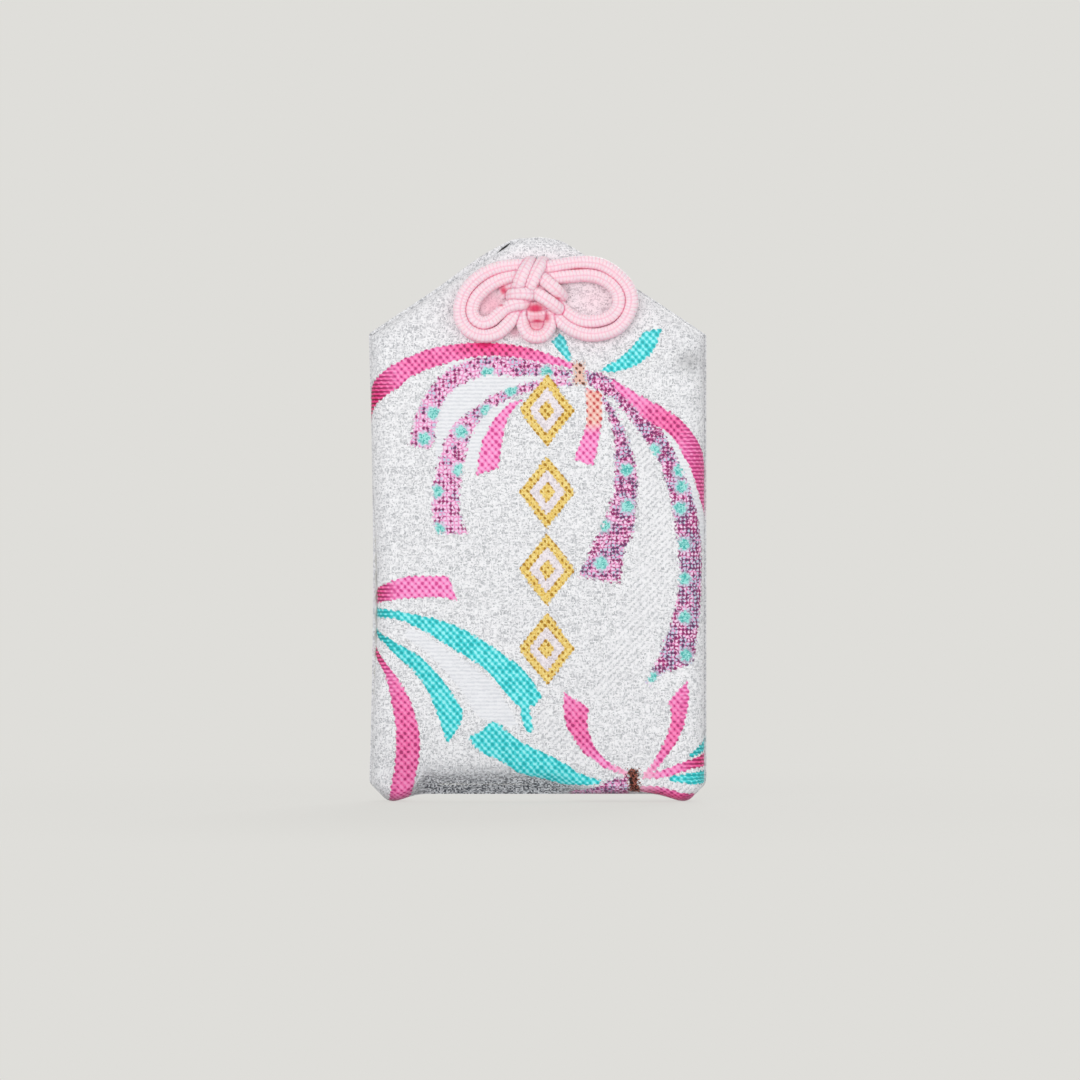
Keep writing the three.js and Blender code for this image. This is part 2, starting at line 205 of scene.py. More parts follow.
# Talisman slip
# A thin slip of bare planed cypress, the heart of the charm. It is cut along the grain and is wrapped
# in paper before it goes into the bag.
class Wire:
    """A value in a material's node tree. Python's operators on it add Math nodes."""

    def __init__(self, tree, socket=None):
        self.tree = tree
        self.socket = socket

    def add(self, kind, inputs=None, output=0, **settings):
        """Adds any node: its settings first, then the values or wires of its sockets."""
        node = self.tree.nodes.new("ShaderNode" + kind)
        for key, value in settings.items():
            setattr(node, key, value)
        for key, value in (inputs or {}).items():
            if isinstance(value, Wire):
                self.tree.links.new(value.socket, node.inputs[key])
            else:
                node.inputs[key].default_value = value
        return Wire(self.tree, node.outputs[output] if node.outputs else None)

    def math(self, operation, first, second=0.0):
        return self.add("Math", {0: first, 1: second}, operation=operation)

    def __add__(self, other):
        return self.math("ADD", self, other)

    __radd__ = __add__

    def __sub__(self, other):
        return self.math("SUBTRACT", self, other)

    def __rsub__(self, other):
        return self.math("SUBTRACT", other, self)

    def __mul__(self, other):
        return self.math("MULTIPLY", self, other)

    __rmul__ = __mul__

    def __abs__(self):
        return self.math("ABSOLUTE", self)

    def __round__(self):
        return self.math("ROUND", self)

    def larger(self, other):
        return self.math("MAXIMUM", self, other)

    def mark(self, name):
        """The value that the mesh keeps under this name."""
        return self.add("Attribute", output="Fac", attribute_name=name)

    def wave(self, period):
        """A cosine along this length."""
        return self.math("COSINE", self * (2 * math.pi / period))

    def between(self, low, high):
        """0 below low, 1 above high, and a smooth rise in between."""
        places = {"Value": self, "From Min": low, "From Max": high}
        return self.add("MapRange", places, interpolation_type="SMOOTHSTEP")

    def blend(self, first, second):
        """The first colour where this is 0 and the second where it is 1."""
        return self.add("Mix", {0: self, 6: first, 7: second}, output=2, data_type="RGBA")

    def relief(self, strength, depth):
        """A bump with this as its height, for a surface's Normal."""
        return self.add("Bump", {"Height": self, "Strength": strength, "Distance": depth * MM})

    def finish(self, surface):
        """Ends a material with a surface that has these values or wires in its sockets."""
        self.add("OutputMaterial", {"Surface": self.add("BsdfPrincipled", surface)})


def dyed(red, green, blue):
    """A colour as a picture shows it, 0 to 255, in the linear values that a shader takes."""
    shares = [value / 255 for value in (red, green, blue)]
    return tuple(s / 12.92 if s <= 0.04045 else ((s + 0.055) / 1.055) ** 2.4 for s in shares) + (1.0,)


def new_finish(name):
    material = bpy.data.materials.new(name)
    material.use_nodes = True
    material.node_tree.nodes.clear()
    return material, Wire(material.node_tree)


def dress(piece, material):
    piece.data.materials.clear()
    piece.data.materials.append(material)


def fibrous_finish(name, pale, dark, stretch, grain, relief):
    """A dull surface of drawn-out fibres: wood, paper, board or felted cloth."""
    material, start = new_finish(name)
    place = start.add("TexCoord", output="Object")
    drawn = start.add("Mapping", {"Vector": place, "Scale": stretch})
    fibres = start.add("TexNoise", {"Vector": drawn, "Scale": grain, "Detail": 6.0, "Roughness": 0.6})
    share = fibres.between(0.3, 0.7)
    surface = {"Base Color": share.blend(pale, dark), "Roughness": 0.7 + 0.2 * share}
    surface["Normal"] = share.relief(0.5, relief)
    surface["Specular IOR Level"] = 0.25
    start.finish(surface)
    return material


pale_wood = dyed(228, 201, 158)
dark_wood = dyed(196, 157, 108)
slip_wood = fibrous_finish("cypress", pale_wood, dark_wood, stretch=(3, 3, 0.15), grain=900, relief=0.04)
dress(frame["nodes"]["talisman_slip"], slip_wood)


# Talisman wrapper
# White handmade paper folded round the slip, with its two flaps lapped at the back. Long soft fibres
# show in it.
white_paper = dyed(250, 248, 240)
cream_paper = dyed(232, 228, 215)
wrapper_paper = fibrous_finish(
    "folded_paper", white_paper, cream_paper, stretch=(1, 1, 1), grain=700, relief=0.02
)
dress(frame["nodes"]["talisman_wrapper"], wrapper_paper)


# Stiffener card
# A piece of uncoated grey board that keeps the bag flat. It stands behind the wrapped slip.
pale_board = dyed(214, 207, 193)
dark_board = dyed(178, 170, 154)
card_board = fibrous_finish(
    "grey_board", pale_board, dark_board, stretch=(1, 1, 2.5), grain=1400, relief=0.03
)
dress(frame["nodes"]["stiffener_card"], card_board)


# Interlinings
# Non-woven backing, bonded behind the flat of each panel so that the thin brocade doesn't sag.
pale_felt = dyed(247, 246, 241)
dark_felt = dyed(226, 224, 217)
lining_felt = fibrous_finish(
    "felted_backing", pale_felt, dark_felt, stretch=(1, 1, 1), grain=2200, relief=0.05
)
for lining in ("front_interlining", "back_interlining"):
    dress(frame["nodes"][lining], lining_felt)


# Front panel
# Silver-white jacquard brocade with a woven bundle of ribbons in pink, teal and spotted mauve. The cloth
# is cut larger than the bag, turned back round its edge and into the seam, and drawn in at the eyelets.
bag_low, bag_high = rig.box("front_panel")
half_width = bag_high.x / MM
bag_height = bag_high.z / MM
half_depth = -bag_low.y / MM
# The outline: shoulders, slanted edges, a rounded peak, and a foot with a low arch and cut corners
shoulder_height = 62.5
slant_top = 74.5
slant_spare = 0.15
peak_half = 5.0
bottom_rise = 0.95
arch_half = 15.0
arch_end = 19.5
corner_cut = 2.2
side_blend = 0.1
shoulder_round = 0.8
corner_round = 1.2
# How far the sides swell or draw in, and how far the back panel shows past the front one
left_bulge = 0.3
right_bulge = 0.2
back_waist = 0.55
front_waist = 0.85
waist_height = 27.0
waist_reach = 14.0
back_shows = 0.3
slant_shows = 0.45
upper_shows = 0.45
upper_middle = -8.0
upper_reach = 4.0
right_shows = 0.25
past_peak = (1.0, 4.0)
# The fold round the edge: its depth, its rounding, and a flatter crease in the left half of the foot
taper_start = 52.6
mouth_half = 1.4
seam_half = 0.03
seam_turning = 0.9
side_round = 2.8
bottom_round = 1.3
crease_round = 3.0
crease_blend = 0.7
crease_height = (2.5, 6.0)
crease_left = (-18.0, -14.5)
crease_right = (1.0, 8.0)
# The cloth itself, the step that slopes are measured over, and the eyelets that the cord goes through
cloth_thickness = 0.35
cell = 0.31
cut_spare = 4.0
smooth_angle = 50
probe = 0.02
eyelet_x = 2.2
eyelet_z = 71.8
# Swellings and hollows from filling and handling: across, up, half width, half height and how proud
handled_places = [
    (0, 30, 15, 26, 0.35), (-eyelet_x, eyelet_z, 1.6, 1.6, -0.5), (eyelet_x, eyelet_z, 1.6, 1.6, -0.5),
    (20.4, 58.6, 2.2, 1.4, -0.75), (20.6, 52.6, 2.0, 1.2, -0.3),
]
# A faint ripple over the middle of the cloth, and the strip along the seam that stays even
ripple_place = (0, 34, 19, 30)
ripple_height = 0.12
even_edge = (0.5, 3.5)


def eased(value, low, high):
    """0 below low, 1 above high, and a smooth rise in between, for arrays."""
    share = np.clip((value - low) / (high - low), 0, 1)
    return share * share * (3 - 2 * share)


def fading(value, low, high):
    """1 below low, 0 above high, and a smooth fall in between, for arrays."""
    return 1 - eased(value, low, high)


def lesser(first, second, width):
    """The lesser of two distances, with the corner between them rounded."""
    near = np.maximum(width - np.abs(first - second), 0) / width
    return np.minimum(first, second) - near * near * width / 4


def panel_depth(z):
    """Half the bag's thickness at a height."""
    return half_depth + (mouth_half - half_depth) * eased(np.asarray(z, float), taper_start, bag_height)


def inside_bag(x, z, behind):
    """How far inside a panel's outline a point lies. The back panel, behind = 1, shows past the front."""
    drawn_back = back_waist * np.sin(np.pi * np.clip(z / shoulder_height, 0, 1))
    drawn_front = back_shows + front_waist * np.exp(-(((z - waist_height) / waist_reach) ** 2))
    left = half_width + left_bulge + x - drawn_front + behind * (drawn_front - drawn_back)
    right = half_width + right_bulge - x - back_shows * (1 - behind)
    past_left = slant_shows + upper_shows * np.exp(-(((x - upper_middle) / upper_reach) ** 2))
    past = behind * (past_left * eased(-x, *past_peak) + right_shows * eased(x, *past_peak))
    run = half_width - peak_half
    rise = slant_top - shoulder_height
    slant = ((half_width - np.abs(x)) * rise + (shoulder_height - z) * run) / math.hypot(run, rise)
    from_middle = np.minimum(np.abs(x), peak_half)
    crest = (from_middle / peak_half) ** 2 + 2 * (np.abs(x) - from_middle) / peak_half
    top = bag_height - (bag_height - slant_top) * crest - z
    bottom = z - bottom_rise * fading(np.abs(x), arch_half, arch_end)
    corner = (half_width - np.abs(x) + z - corner_cut) / math.sqrt(2)
    sides = lesser(lesser(left, right, side_blend), slant + slant_spare + past, shoulder_round)
    foot = lesser(bottom, corner, corner_round)
    return lesser(lesser(sides, top + past, corner_round), foot, corner_round)


def fold_cloth(u, v, behind):
    """Turns flat cloth round the bag's edge. Gives x, depth, z, and the cloth left up to the seam."""
    inside = inside_bag(u, v, behind)
    lean_x = (inside_bag(u + probe, v, behind) - inside_bag(u - probe, v, behind)) / (2 * probe)
    lean_z = (inside_bag(u, v + probe, behind) - inside_bag(u, v - probe, behind)) / (2 * probe)
    lean = np.maximum(np.hypot(lean_x, lean_z), 0.2)
    low = fading(v, *crease_height)
    creased = low * eased(u, *crease_left) * fading(u, *crease_right)
    turn_round = side_round + (bottom_round - side_round) * low + (crease_round - bottom_round) * creased
    turn_depth = panel_depth(v) - seam_half
    arc = np.pi / 2 * np.sqrt((turn_round**2 + turn_depth**2) / 2)
    left = inside + arc - turn_round
    share = np.clip(left / arc, 0, 1)
    rolled = share * np.pi / 2
    inset = turn_round * ((1 - creased) * (1 - np.cos(rolled)) + creased * share)
    inset = np.where(left < arc, inset, inside)
    inset = np.where(left < 0, -left, inset)
    straight = lesser(np.maximum(left / arc, 0), 1.0, crease_blend)
    depth = seam_half + turn_depth * ((1 - creased) * np.sin(rolled) + creased * np.maximum(straight, 0))
    x = u + lean_x / lean * (inset - inside)
    z = v + lean_z / lean * (inset - inside)
    return x, depth, z, left


def hollow(x, z, middle_x, middle_z, width, height):
    """A soft round share, 1 in the middle of a hollow or swelling and 0 away from it."""
    return np.exp(-(((x - middle_x) / width) ** 2 + ((z - middle_z) / height) ** 2))


def handled(x, z):
    """How far the cloth stands proud of its even shape."""
    proud = sum(amount * hollow(x, z, *place) for *place, amount in handled_places)
    ripple = np.sin(0.55 * x + 0.21 * z) * np.sin(0.33 * z - 0.12 * x + 1.0)
    return proud + ripple_height * ripple * hollow(x, z, *ripple_place)


def smooth_line(points, spacing):
    """Points at even spacing on a smooth curve through the given ones."""
    points = np.asarray(points, float)
    ends = [2 * points[0] - points[1], 2 * points[-1] - points[-2]]
    padded = np.vstack([ends[0], points, ends[1]])
    knots = np.concatenate([[0], np.cumsum(np.linalg.norm(np.diff(padded, axis=0), axis=1) ** 0.5)])
    fine = []
    for i in range(1, len(padded) - 2):
        p0, p1, p2, p3 = padded[i - 1 : i + 3]
        t0, t1, t2, t3 = knots[i - 1 : i + 3]
        t = np.linspace(t1, t2, 24, endpoint=False)[:, None]
        a1 = (t1 - t) / (t1 - t0) * p0 + (t - t0) / (t1 - t0) * p1
        a2 = (t2 - t) / (t2 - t1) * p1 + (t - t1) / (t2 - t1) * p2
        a3 = (t3 - t) / (t3 - t2) * p2 + (t - t2) / (t3 - t2) * p3
        b1 = (t2 - t) / (t2 - t0) * a1 + (t - t0) / (t2 - t0) * a2
        b2 = (t3 - t) / (t3 - t1) * a2 + (t - t1) / (t3 - t1) * a3
        fine.append((t2 - t) / (t2 - t1) * b1 + (t - t1) / (t2 - t1) * b2)
    fine = np.vstack([*fine, points[-1:]])
    along = np.concatenate([[0], np.cumsum(np.linalg.norm(np.diff(fine, axis=0), axis=1))])
    at = np.linspace(0, along[-1], max(2, round(along[-1] / spacing) + 1))
    return np.stack([np.interp(at, along, fine[:, k]) for k in range(points.shape[1])], axis=1)


edge_step = 0.8
ribbon_reach = 2.0


def inside_shape(u, v, first_edge, second_edge):
    """How far inside a ribbon each point of the cloth lies, below 0 outside it."""
    outline = np.vstack([smooth_line(first_edge, edge_step), smooth_line(second_edge, edge_step)[::-1]])
    low = outline.min(0) - ribbon_reach
    high = outline.max(0) + ribbon_reach
    near = np.flatnonzero((u > low[0]) & (u < high[0]) & (v > low[1]) & (v < high[1]))
    px, pz = u[near], v[near]
    best = np.full(len(near), ribbon_reach)
    within = np.zeros(len(near), bool)
    for (ax, az), (bx, bz) in zip(outline, np.roll(outline, -1, axis=0)):
        dx, dz = bx - ax, bz - az
        share = np.clip(((px - ax) * dx + (pz - az) * dz) / max(dx * dx + dz * dz, 1e-9), 0, 1)
        best = np.minimum(best, np.hypot(px - ax - share * dx, pz - az - share * dz))
        crosses = (az > pz) != (bz > pz)
        within ^= crosses & (px < ax + (pz - az) * dx / (dz if dz else 1e-9))
    found = np.full(len(u), -ribbon_reach)
    found[near] = np.where(within, best, -best)
    return found


# Ribbons of the woven bundle: each has its two edges, across and up
pink_ribbons = [
    (
        [
            (-25.5, 53.6), (-22.2, 56.8), (-19.3, 58.8), (-14.7, 60.8),
            (-10, 61.6), (-4.8, 61.6), (-0.5, 60.8), (5.1, 58.7),
        ],
        [
            (-25.5, 49.4), (-22.2, 53.3), (-19, 55.5), (-17.1, 57.1),
            (-13.7, 58.5), (-9.5, 59.6), (-5.4, 59.95), (4.5, 58.3),
        ],
    ),
    (
        [(-3.6, 53.7), (-5.4, 51.9), (-7.3, 48.8), (-8.3, 43.9)],
        [(-2, 54), (-3.9, 51.9), (-4.8, 48.8), (-5.3, 44.9)],
    ),
    (
        [
            (9.6, 56.9), (11.5, 55.9), (13.7, 54.6), (17.4, 52.6),
            (19.8, 50.7), (22, 48), (23.4, 46.2), (25.5, 43.5),
        ],
        [
            (10.4, 55.6), (12.4, 53.6), (14.6, 51.3), (17.7, 49.4),
            (19.2, 47.2), (21, 43.8), (22.3, 40.6), (25.5, 37),
        ],
    ),
    (
        [(6.2, 55.6), (6.6, 52.8), (6.2, 49.7), (4.8, 46)],
        [(8.5, 55), (8.6, 52.2), (8.2, 48.8), (7.4, 45.1)],
    ),
    (
        [(-25.5, 27.8), (-21.3, 29.1), (-17.7, 30.2), (-12, 30.3)],
        [(-25.5, 26.3), (-21.3, 26.9), (-17, 27.4), (-12.5, 27.5), (-10.8, 26.9)],
    ),
    (
        [(-25.5, 22.5), (-21.4, 19.5), (-18, 15.2), (-16, 9.7), (-16, 6), (-16.6, 2.5), (-17, -3)],
        [(-25.5, 21), (-21.4, 18.3), (-20.2, 15.8), (-19.1, 9.7), (-19.1, 6.3), (-19.4, 3.6), (-21, -3)],
    ),
    (
        [(3.5, 14.8), (3.5, 12.1), (3.8, 10.3), (5.1, 8.1), (6.6, 6.3), (8.8, 4.7), (11.9, 3.5)],
        [(3.8, 14.6), (6.9, 12.3), (6.6, 11.2), (6.9, 9.1), (7.9, 6.9), (9.4, 5.4), (12.2, 4.1)],
    ),
    (
        [(14, 3.7), (15.3, 5.1), (16.5, 7.2), (17.6, 9.7), (17.9, 12.5), (17.4, 13.4)],
        [(14, 3.1), (15.9, 4.4), (17.4, 6.3), (19, 8.8), (19.9, 11.5), (20.3, 14.3), (20, 16.3)],
    ),
    (
        [(14, 3.7), (17.1, 4.4), (19.9, 5.5), (22.7, 6.3), (25.5, 6.9)],
        [(14, 3.1), (17.4, 3.4), (20.2, 4.3), (25.5, 4.9)],
    ),
    (
        [(13.7, 2.1), (16.7, 1.9), (20.1, 0.8), (22, 0.2)],
        [(13.7, 0.5), (15.5, -0.3), (17, -1.3), (19, -2.4), (22, -3)],
    ),
]
mauve_ribbons = [
    (
        [
            (4.8, 57.7), (0.1, 59.1), (-4.8, 59.9), (-7.9, 59.7),
            (-11.6, 58.3), (-13.7, 56.5), (-15.9, 53.1), (-17.3, 47.9),
        ],
        [
            (3.8, 56.7), (0.8, 57.4), (-2.9, 57.1), (-6.6, 57.4),
            (-10.6, 55.9), (-12.8, 53.7), (-13.7, 50.3), (-14.3, 47.4),
        ],
    ),
    (
        [
            (4.8, 56.7), (0.8, 56.7), (-5.4, 55), (-8.5, 52.8),
            (-11.3, 50.6), (-13.1, 46.6), (-14.2, 40.5), (-13.7, 36.1),
        ],
        [
            (4.5, 55.9), (-0.5, 55.4), (-5.4, 53.4), (-7.3, 51.9),
            (-9.1, 49.1), (-10.5, 42.3), (-10.5, 39.2), (-9.6, 36.1),
        ],
    ),
    (
        [
            (6.2, 58), (7.9, 57.6), (10.4, 56.4), (12.5, 53.7), (15.9, 50.6), (17.6, 48.3),
            (19.3, 44.8), (20.6, 41.8), (21.5, 38.8), (22.2, 35.8), (22.6, 30), (22, 24.2),
            (21.4, 20.8), (20.7, 18.8), (16.5, 17.1), (15.1, 15.8),
        ],
        [
            (6.6, 56.1), (7.8, 55.5), (9.8, 54.3), (11.6, 52.4), (14, 49.1), (16.2, 45.7), (17.4, 42.3),
            (18.3, 38), (18.9, 34), (18.9, 29), (18.3, 25.4), (17.1, 21.7), (15.9, 18.9), (14.6, 16.2),
        ],
    ),
    (
        [
            (8.8, 55), (10.3, 52.5), (11.6, 50), (12.8, 46.6),
            (13.2, 43.5), (12.8, 36.5), (11.6, 33.7), (10.9, 29.4),
        ],
        [
            (8.5, 54.3), (9.4, 51.9), (10.3, 48.2), (10.3, 44.8),
            (10, 41.1), (8.8, 37.4), (7.2, 34.3), (5.6, 30.3),
        ],
    ),
    ([(4.6, 0.6), (7.7, 1.7), (9.5, 2.9), (12.2, 3.4)], [(4.2, -2), (8, -2), (12.2, -1)]),
]
teal_ribbons = [
    (
        [(8.2, 58), (10.9, 59.6), (13.1, 61.6), (14.3, 63.2)],
        [(10, 57.7), (13.1, 58.6), (15.6, 60.8), (16.6, 63.6)],
    ),
    ([(1.9, 61.9), (3, 60.4), (4.1, 59.2)], [(3.2, 63), (4, 61.2), (4.6, 59.3)]),
    (
        [
            (-25.5, 26.3), (-18.7, 25.6), (-11.6, 23.9), (-7.9, 22),
            (-4.8, 19.9), (-2.3, 18), (-0.5, 15.8), (0.5, 14.3),
        ],
        [
            (-25.5, 24.9), (-18.7, 24.5), (-15.3, 22.9), (-12.2, 21.1),
            (-6.6, 17.4), (-4.8, 15.2), (-2.8, 13), (-0.5, 12.9),
        ],
    ),
    ([(-2.4, 13), (-2.2, 11.2), (-1.4, 9.3)], [(-1.3, 13), (-0.8, 11), (-0.6, 9.6)]),
    (
        [
            (-25.5, 24.4), (-21.4, 22.6), (-15.9, 19.5), (-13.4, 17.1),
            (-11.6, 14.6), (-10.2, 12.5), (-10.3, 10.9), (-12, 8),
        ],
        [
            (-25.5, 23.4), (-21.4, 21.7), (-19.3, 19.9), (-17.1, 18),
            (-15.3, 15.8), (-14, 13.1), (-13, 10.3), (-12.2, 8.1),
        ],
    ),
    (
        [
            (8.5, 2.9), (5.7, 3.8), (3.2, 5.4), (0.1, 6.9),
            (-2.3, 8.1), (-4.2, 9.5), (-5.9, 10.9), (-7.5, 9.6),
        ],
        [
            (8.2, 2.4), (5.7, 2.1), (3.2, 1.8), (0.8, 2.6),
            (-2.3, 3.8), (-5.4, 5.7), (-7.8, 6.8), (-9.4, 8.7),
        ],
    ),
    ([(20.2, 6.3), (22.7, 7.9), (25.5, 9.4)], [(20.8, 6), (22.7, 6.6), (25.5, 7.5)]),
    (
        [(17.8, 3.4), (20.5, 3.9), (22.7, 4.1), (25.5, 4.2)],
        [(17.7, 2.9), (20.2, 2.4), (22.7, 2.1), (25.5, 2)],
    ),
]
white_ribbons = [
    (
        [(-17.5, 23.6), (-14, 21.6), (-10, 19), (-6.6, 16.6), (-4, 13), (-2.6, 10)],
        [(-17.9, 22.4), (-15, 20), (-12, 17), (-9.7, 14), (-8, 11.5), (-5.6, 10.6)],
    ),
    ([(3, 58.6), (-4.8, 60.5), (-9.1, 60.4), (-13, 59)], [(2, 57.8), (-4.8, 59.9), (-8, 59.7), (-12, 58)]),
    (
        [(3.8, 56.9), (-2.9, 57.4), (-6.6, 57.6), (-10.6, 56.1), (-12.9, 53.7), (-13.9, 49.5)],
        [(3.8, 56.4), (-5.4, 54.8), (-8.5, 52.6), (-11.3, 50.4), (-13, 46.6), (-13.6, 44)],
    ),
    (
        [(-4.5, 54), (-7.3, 52), (-9.1, 49.2), (-10.2, 45.5)],
        [(-3.4, 53.6), (-5.4, 51.8), (-7.3, 48.7), (-8.2, 44.5)],
    ),
    (
        [
            (9.5, 55.6), (12, 53.6), (15.5, 51), (18.2, 48.9),
            (20, 46.2), (21.2, 43.2), (22.4, 40.4), (24, 36),
        ],
        [
            (9.5, 55), (12, 53.2), (15.7, 50.4), (17.4, 48.3),
            (19.2, 44.6), (20.6, 41.4), (21.6, 38), (22.6, 34),
        ],
    ),
]
twill_ribbons = [
    ([(0.6, 13.2), (2.6, 11), (5, 8), (8.4, 4.8)], [(-1.2, 11), (1, 8.6), (4, 6), (8, 3.8)]),
    (
        [(10, 54), (14, 49), (17, 42), (18, 36), (18, 30), (16, 24), (12, 17), (8.5, 13.5)],
        [(9.8, 53.4), (12.4, 49), (13.8, 43), (13.6, 38), (13.3, 33), (11, 25), (9, 19), (7, 15)],
    ),
    ([(13.6, 3.1), (17.5, 2.9), (21.5, 2.1)], [(13.6, 2.1), (17, 1.9), (20.5, 0.8)]),
]
bindings = [
    ([(4.6, 59), (4.9, 57.6), (4.7, 56.2)], [(6.3, 59.1), (6.2, 57.6), (6.5, 56.1)]),
    ([(11.9, 4.4), (12.1, 2.9), (12.1, 0.4)], [(13.6, 4.4), (13.6, 2.9), (13.9, 0.4)]),
]
mauve_spots = [
    (-6.8, 57.6), (1.1, 57.7), (-14, 52.2), (-15.3, 48.8), (-3.6, 55.3), (-6.9, 52.5),
    (-10.3, 49.7), (-10.6, 44.6), (-13.6, 41.7), (-13.3, 36.6), (15.6, 47.2), (19, 44.5),
    (19.3, 42.3), (19.1, 39.5), (19.6, 34.6), (19.7, 30), (19.7, 24.8), (19.9, 19.7),
    (15.4, 16.6), (11.9, 44.6), (12, 39.7), (8.9, 37.1), (8.5, 32),
]
woven_ribbons = {
    "pink": pink_ribbons,
    "mauve": mauve_ribbons,
    "teal": teal_ribbons,
    "binding": bindings,
    "white": white_ribbons,
    "twill": twill_ribbons,
}
# Spots on the mauve ribbons, a coral stretch, a pale foot, and the height between the two bundles
spot_radius = 0.8
coral_middle = (7.4, 53.0)
binding_foot = (12.8, 3.0)
bundle_split = 30.0
# A chain of gold lozenges, each an outline round a small core
lozenge_column = 1.2
lozenge_heights = (52.6, 41.6, 31.2, 20.6)
lozenge_half_width = 3.1
lozenge_half_height = 4.0
lozenge_slope = 0.8
lozenge_stroke = 0.55
lozenge_core = 0.9
# Threads of the weave, the grid that ties its floats down, and the pitches of its patterns
thread = 0.15
long_float = 0.5
tall_float = 0.4
coarse_thread = 0.2
frayed_thread = 0.26
thread_drift = 0.45
tie_across = 0.94
tie_upward = 1.03
weft_pitch = 0.51
rib_pitch = 0.94
dot_pitch = 0.52
weft_faced = (18.4, 20.6)
weave_relief = 0.07
# Places where pink and teal are darker, partly from deeper dye and partly as painted shade; past 1, a painted shadow
# under the knot's left ear: across, up, half width, half height and how much
dye_and_shade_places = [
    (-23, 53, 4.4, 6, 1.0), (-6, 61.3, 7.5, 2.2, 0.9), (22.6, 43.5, 3.4, 8, 0.5), (17.5, 51, 5, 4, 0.55),
    (-15, 59, 8, 4, 0.4), (-7.1, 61.5, 2.2, 0.6, 1.6),
    (-22.8, 28.5, 2.6, 3, 1.0), (-23, 21, 3.8, 4.5, 1.0), (-18, 8, 4, 13, 0.52), (5.4, 10, 3, 5, 0.5),
    (18, 9.5, 3, 5, 0.5), (22.5, 5.5, 3, 3, 0.8), (17.5, 0, 6, 1.6, 0.8), (7, 0, 5, 1.5, 0.6),
]
# Painted pink reflection and pink-tinted shade that the knot's cord throws on the cloth: across, up, half width, half
# height and how much
pink_bounce_places = [
    (-6.2, 66.8, 2.4, 2.2, 0.65), (7.4, 67.5, 3.6, 2.6, 0.3),
    (0.6, 67.2, 12.5, 5.8, 0.1), (-3.1, 63.2, 1.0, 0.9, 0.6),
]
# Painted highlight along the front's slanted edges, where the fold catches the light: how much, how far in from the
# seam, and its lower and upper ends
edge_highlight_share = 0.18
edge_highlight_width = (1.6, 3.4)
edge_highlight_foot = (61.0, 65.0)
edge_highlight_top = (70.0, 73.5)
# Shade in the seam, under the left half of the bag and in the crumpled right shoulder
seam_shade = 0.08
seam_shade_width = (-0.1, 0.4)
under_shade = 0.09
under_height = (2.0, 13.0)
under_end = (-6.0, 4.0)
crumple_shade = 0.34
crumple_place = (20.5, 59.1, 1.9, 1.5)
# Coarser weave darkened with painted shade where the cloth bends under the bag, weaker behind
bent_shade_height = (1.9, 5.6)
bent_shade_left = (-18.5, -14.5)
bent_shade_right = (2.0, 9.0)
bent_shade_behind = 0.3
# A short slit in the turned edge of the back panel, painted as dark shade with no opening in the mesh: its middle,
# direction, half width, taper and blur.
# Cloth that lies further from the seam than slit_from_seam counts as far off the slit.
slit_middle = (-4.57, 74.6)
slit_along = (0.79, 0.61)
slit_half = 0.15
slit_taper = 0.113
slit_blur = 0.06
slit_from_seam = 1.5
far_off = 9.0
# The back panel's ribbons stop short of the seam
ribbon_stop = (1.0, 2.0)
ribbon_cut = 4.0


def woven_marks(u, v):
    """How far inside the ribbons of each colour every point of the cloth lies, and how much deeper dye and painted
    shade darken it.
    """
    marks = {}
    for colour, ribbons in woven_ribbons.items():
        marks[colour] = np.max([inside_shape(u, v, *edges) for edges in ribbons], axis=0)
    marks["spot"] = np.max([spot_radius - np.hypot(u - x, v - z) for x, z in mauve_spots], axis=0)
    marks["gold"] = np.full(len(u), -ribbon_reach)
    marks["field"] = np.full(len(u), -ribbon_reach)
    for height in lozenge_heights:
        out = np.abs(u - lozenge_column) / lozenge_half_width + np.abs(v - height) / lozenge_half_height
        to_edge = (out - 1) * lozenge_half_width * lozenge_slope
        to_middle = out * lozenge_half_width * lozenge_slope
        lines = np.maximum(lozenge_stroke - np.abs(to_edge), lozenge_core - to_middle)
        marks["gold"] = np.maximum(marks["gold"], lines)
        marks["field"] = np.maximum(marks["field"], -to_edge)
    # Darker places, partly deeper dye and partly painted shade
    marks["dye_and_shade"] = np.max([amount * hollow(u, v, *place) for *place, amount in dye_and_shade_places], axis=0)
    return marks


def surface_marks(x, z, left, behind):
    """Painted edge highlight, painted shade, coarser grain and painted shade at the bends, painted pink reflection,
    and the place of the slit's painted shade at every point of the folded cloth.
    """
    marks = {}
    # Painted highlight along the front's slanted edges
    edge_highlight = edge_highlight_share * (1 - behind) * fading(left, *edge_highlight_width)
    marks["edge_highlight"] = edge_highlight * eased(z, *edge_highlight_foot) * fading(z, *edge_highlight_top)
    in_seam = seam_shade * fading(left, *seam_shade_width)
    underneath = under_shade * fading(z, *under_height) * fading(x, *under_end)
    crumpled = crumple_shade * hollow(x, z, *crumple_place) * (1 - behind)
    marks["shaded"] = np.max([in_seam, crumpled, underneath], axis=0)
    # Painted shade where the cloth bends under the bag, over a coarser grain
    bent_shade = fading(z, *bent_shade_height) * eased(x, *bent_shade_left) * fading(x, *bent_shade_right)
    marks["bent_shade"] = bent_shade * (bent_shade_behind if behind else 1)
    # Painted pink reflection and pink-tinted shade from the knot's cord
    bounce_each = [amount * hollow(x, z, *place) for *place, amount in pink_bounce_places]
    marks["pink_bounce"] = np.max(bounce_each, axis=0) * (1 - behind)
    # Where the painted shade of the slit lies
    across, up = x - slit_middle[0], z - slit_middle[1]
    marks["along_slit"] = across * slit_along[0] + up * slit_along[1]
    marks["off_slit"] = up * slit_along[0] - across * slit_along[1] - far_off * (left > slit_from_seam)
    return marks


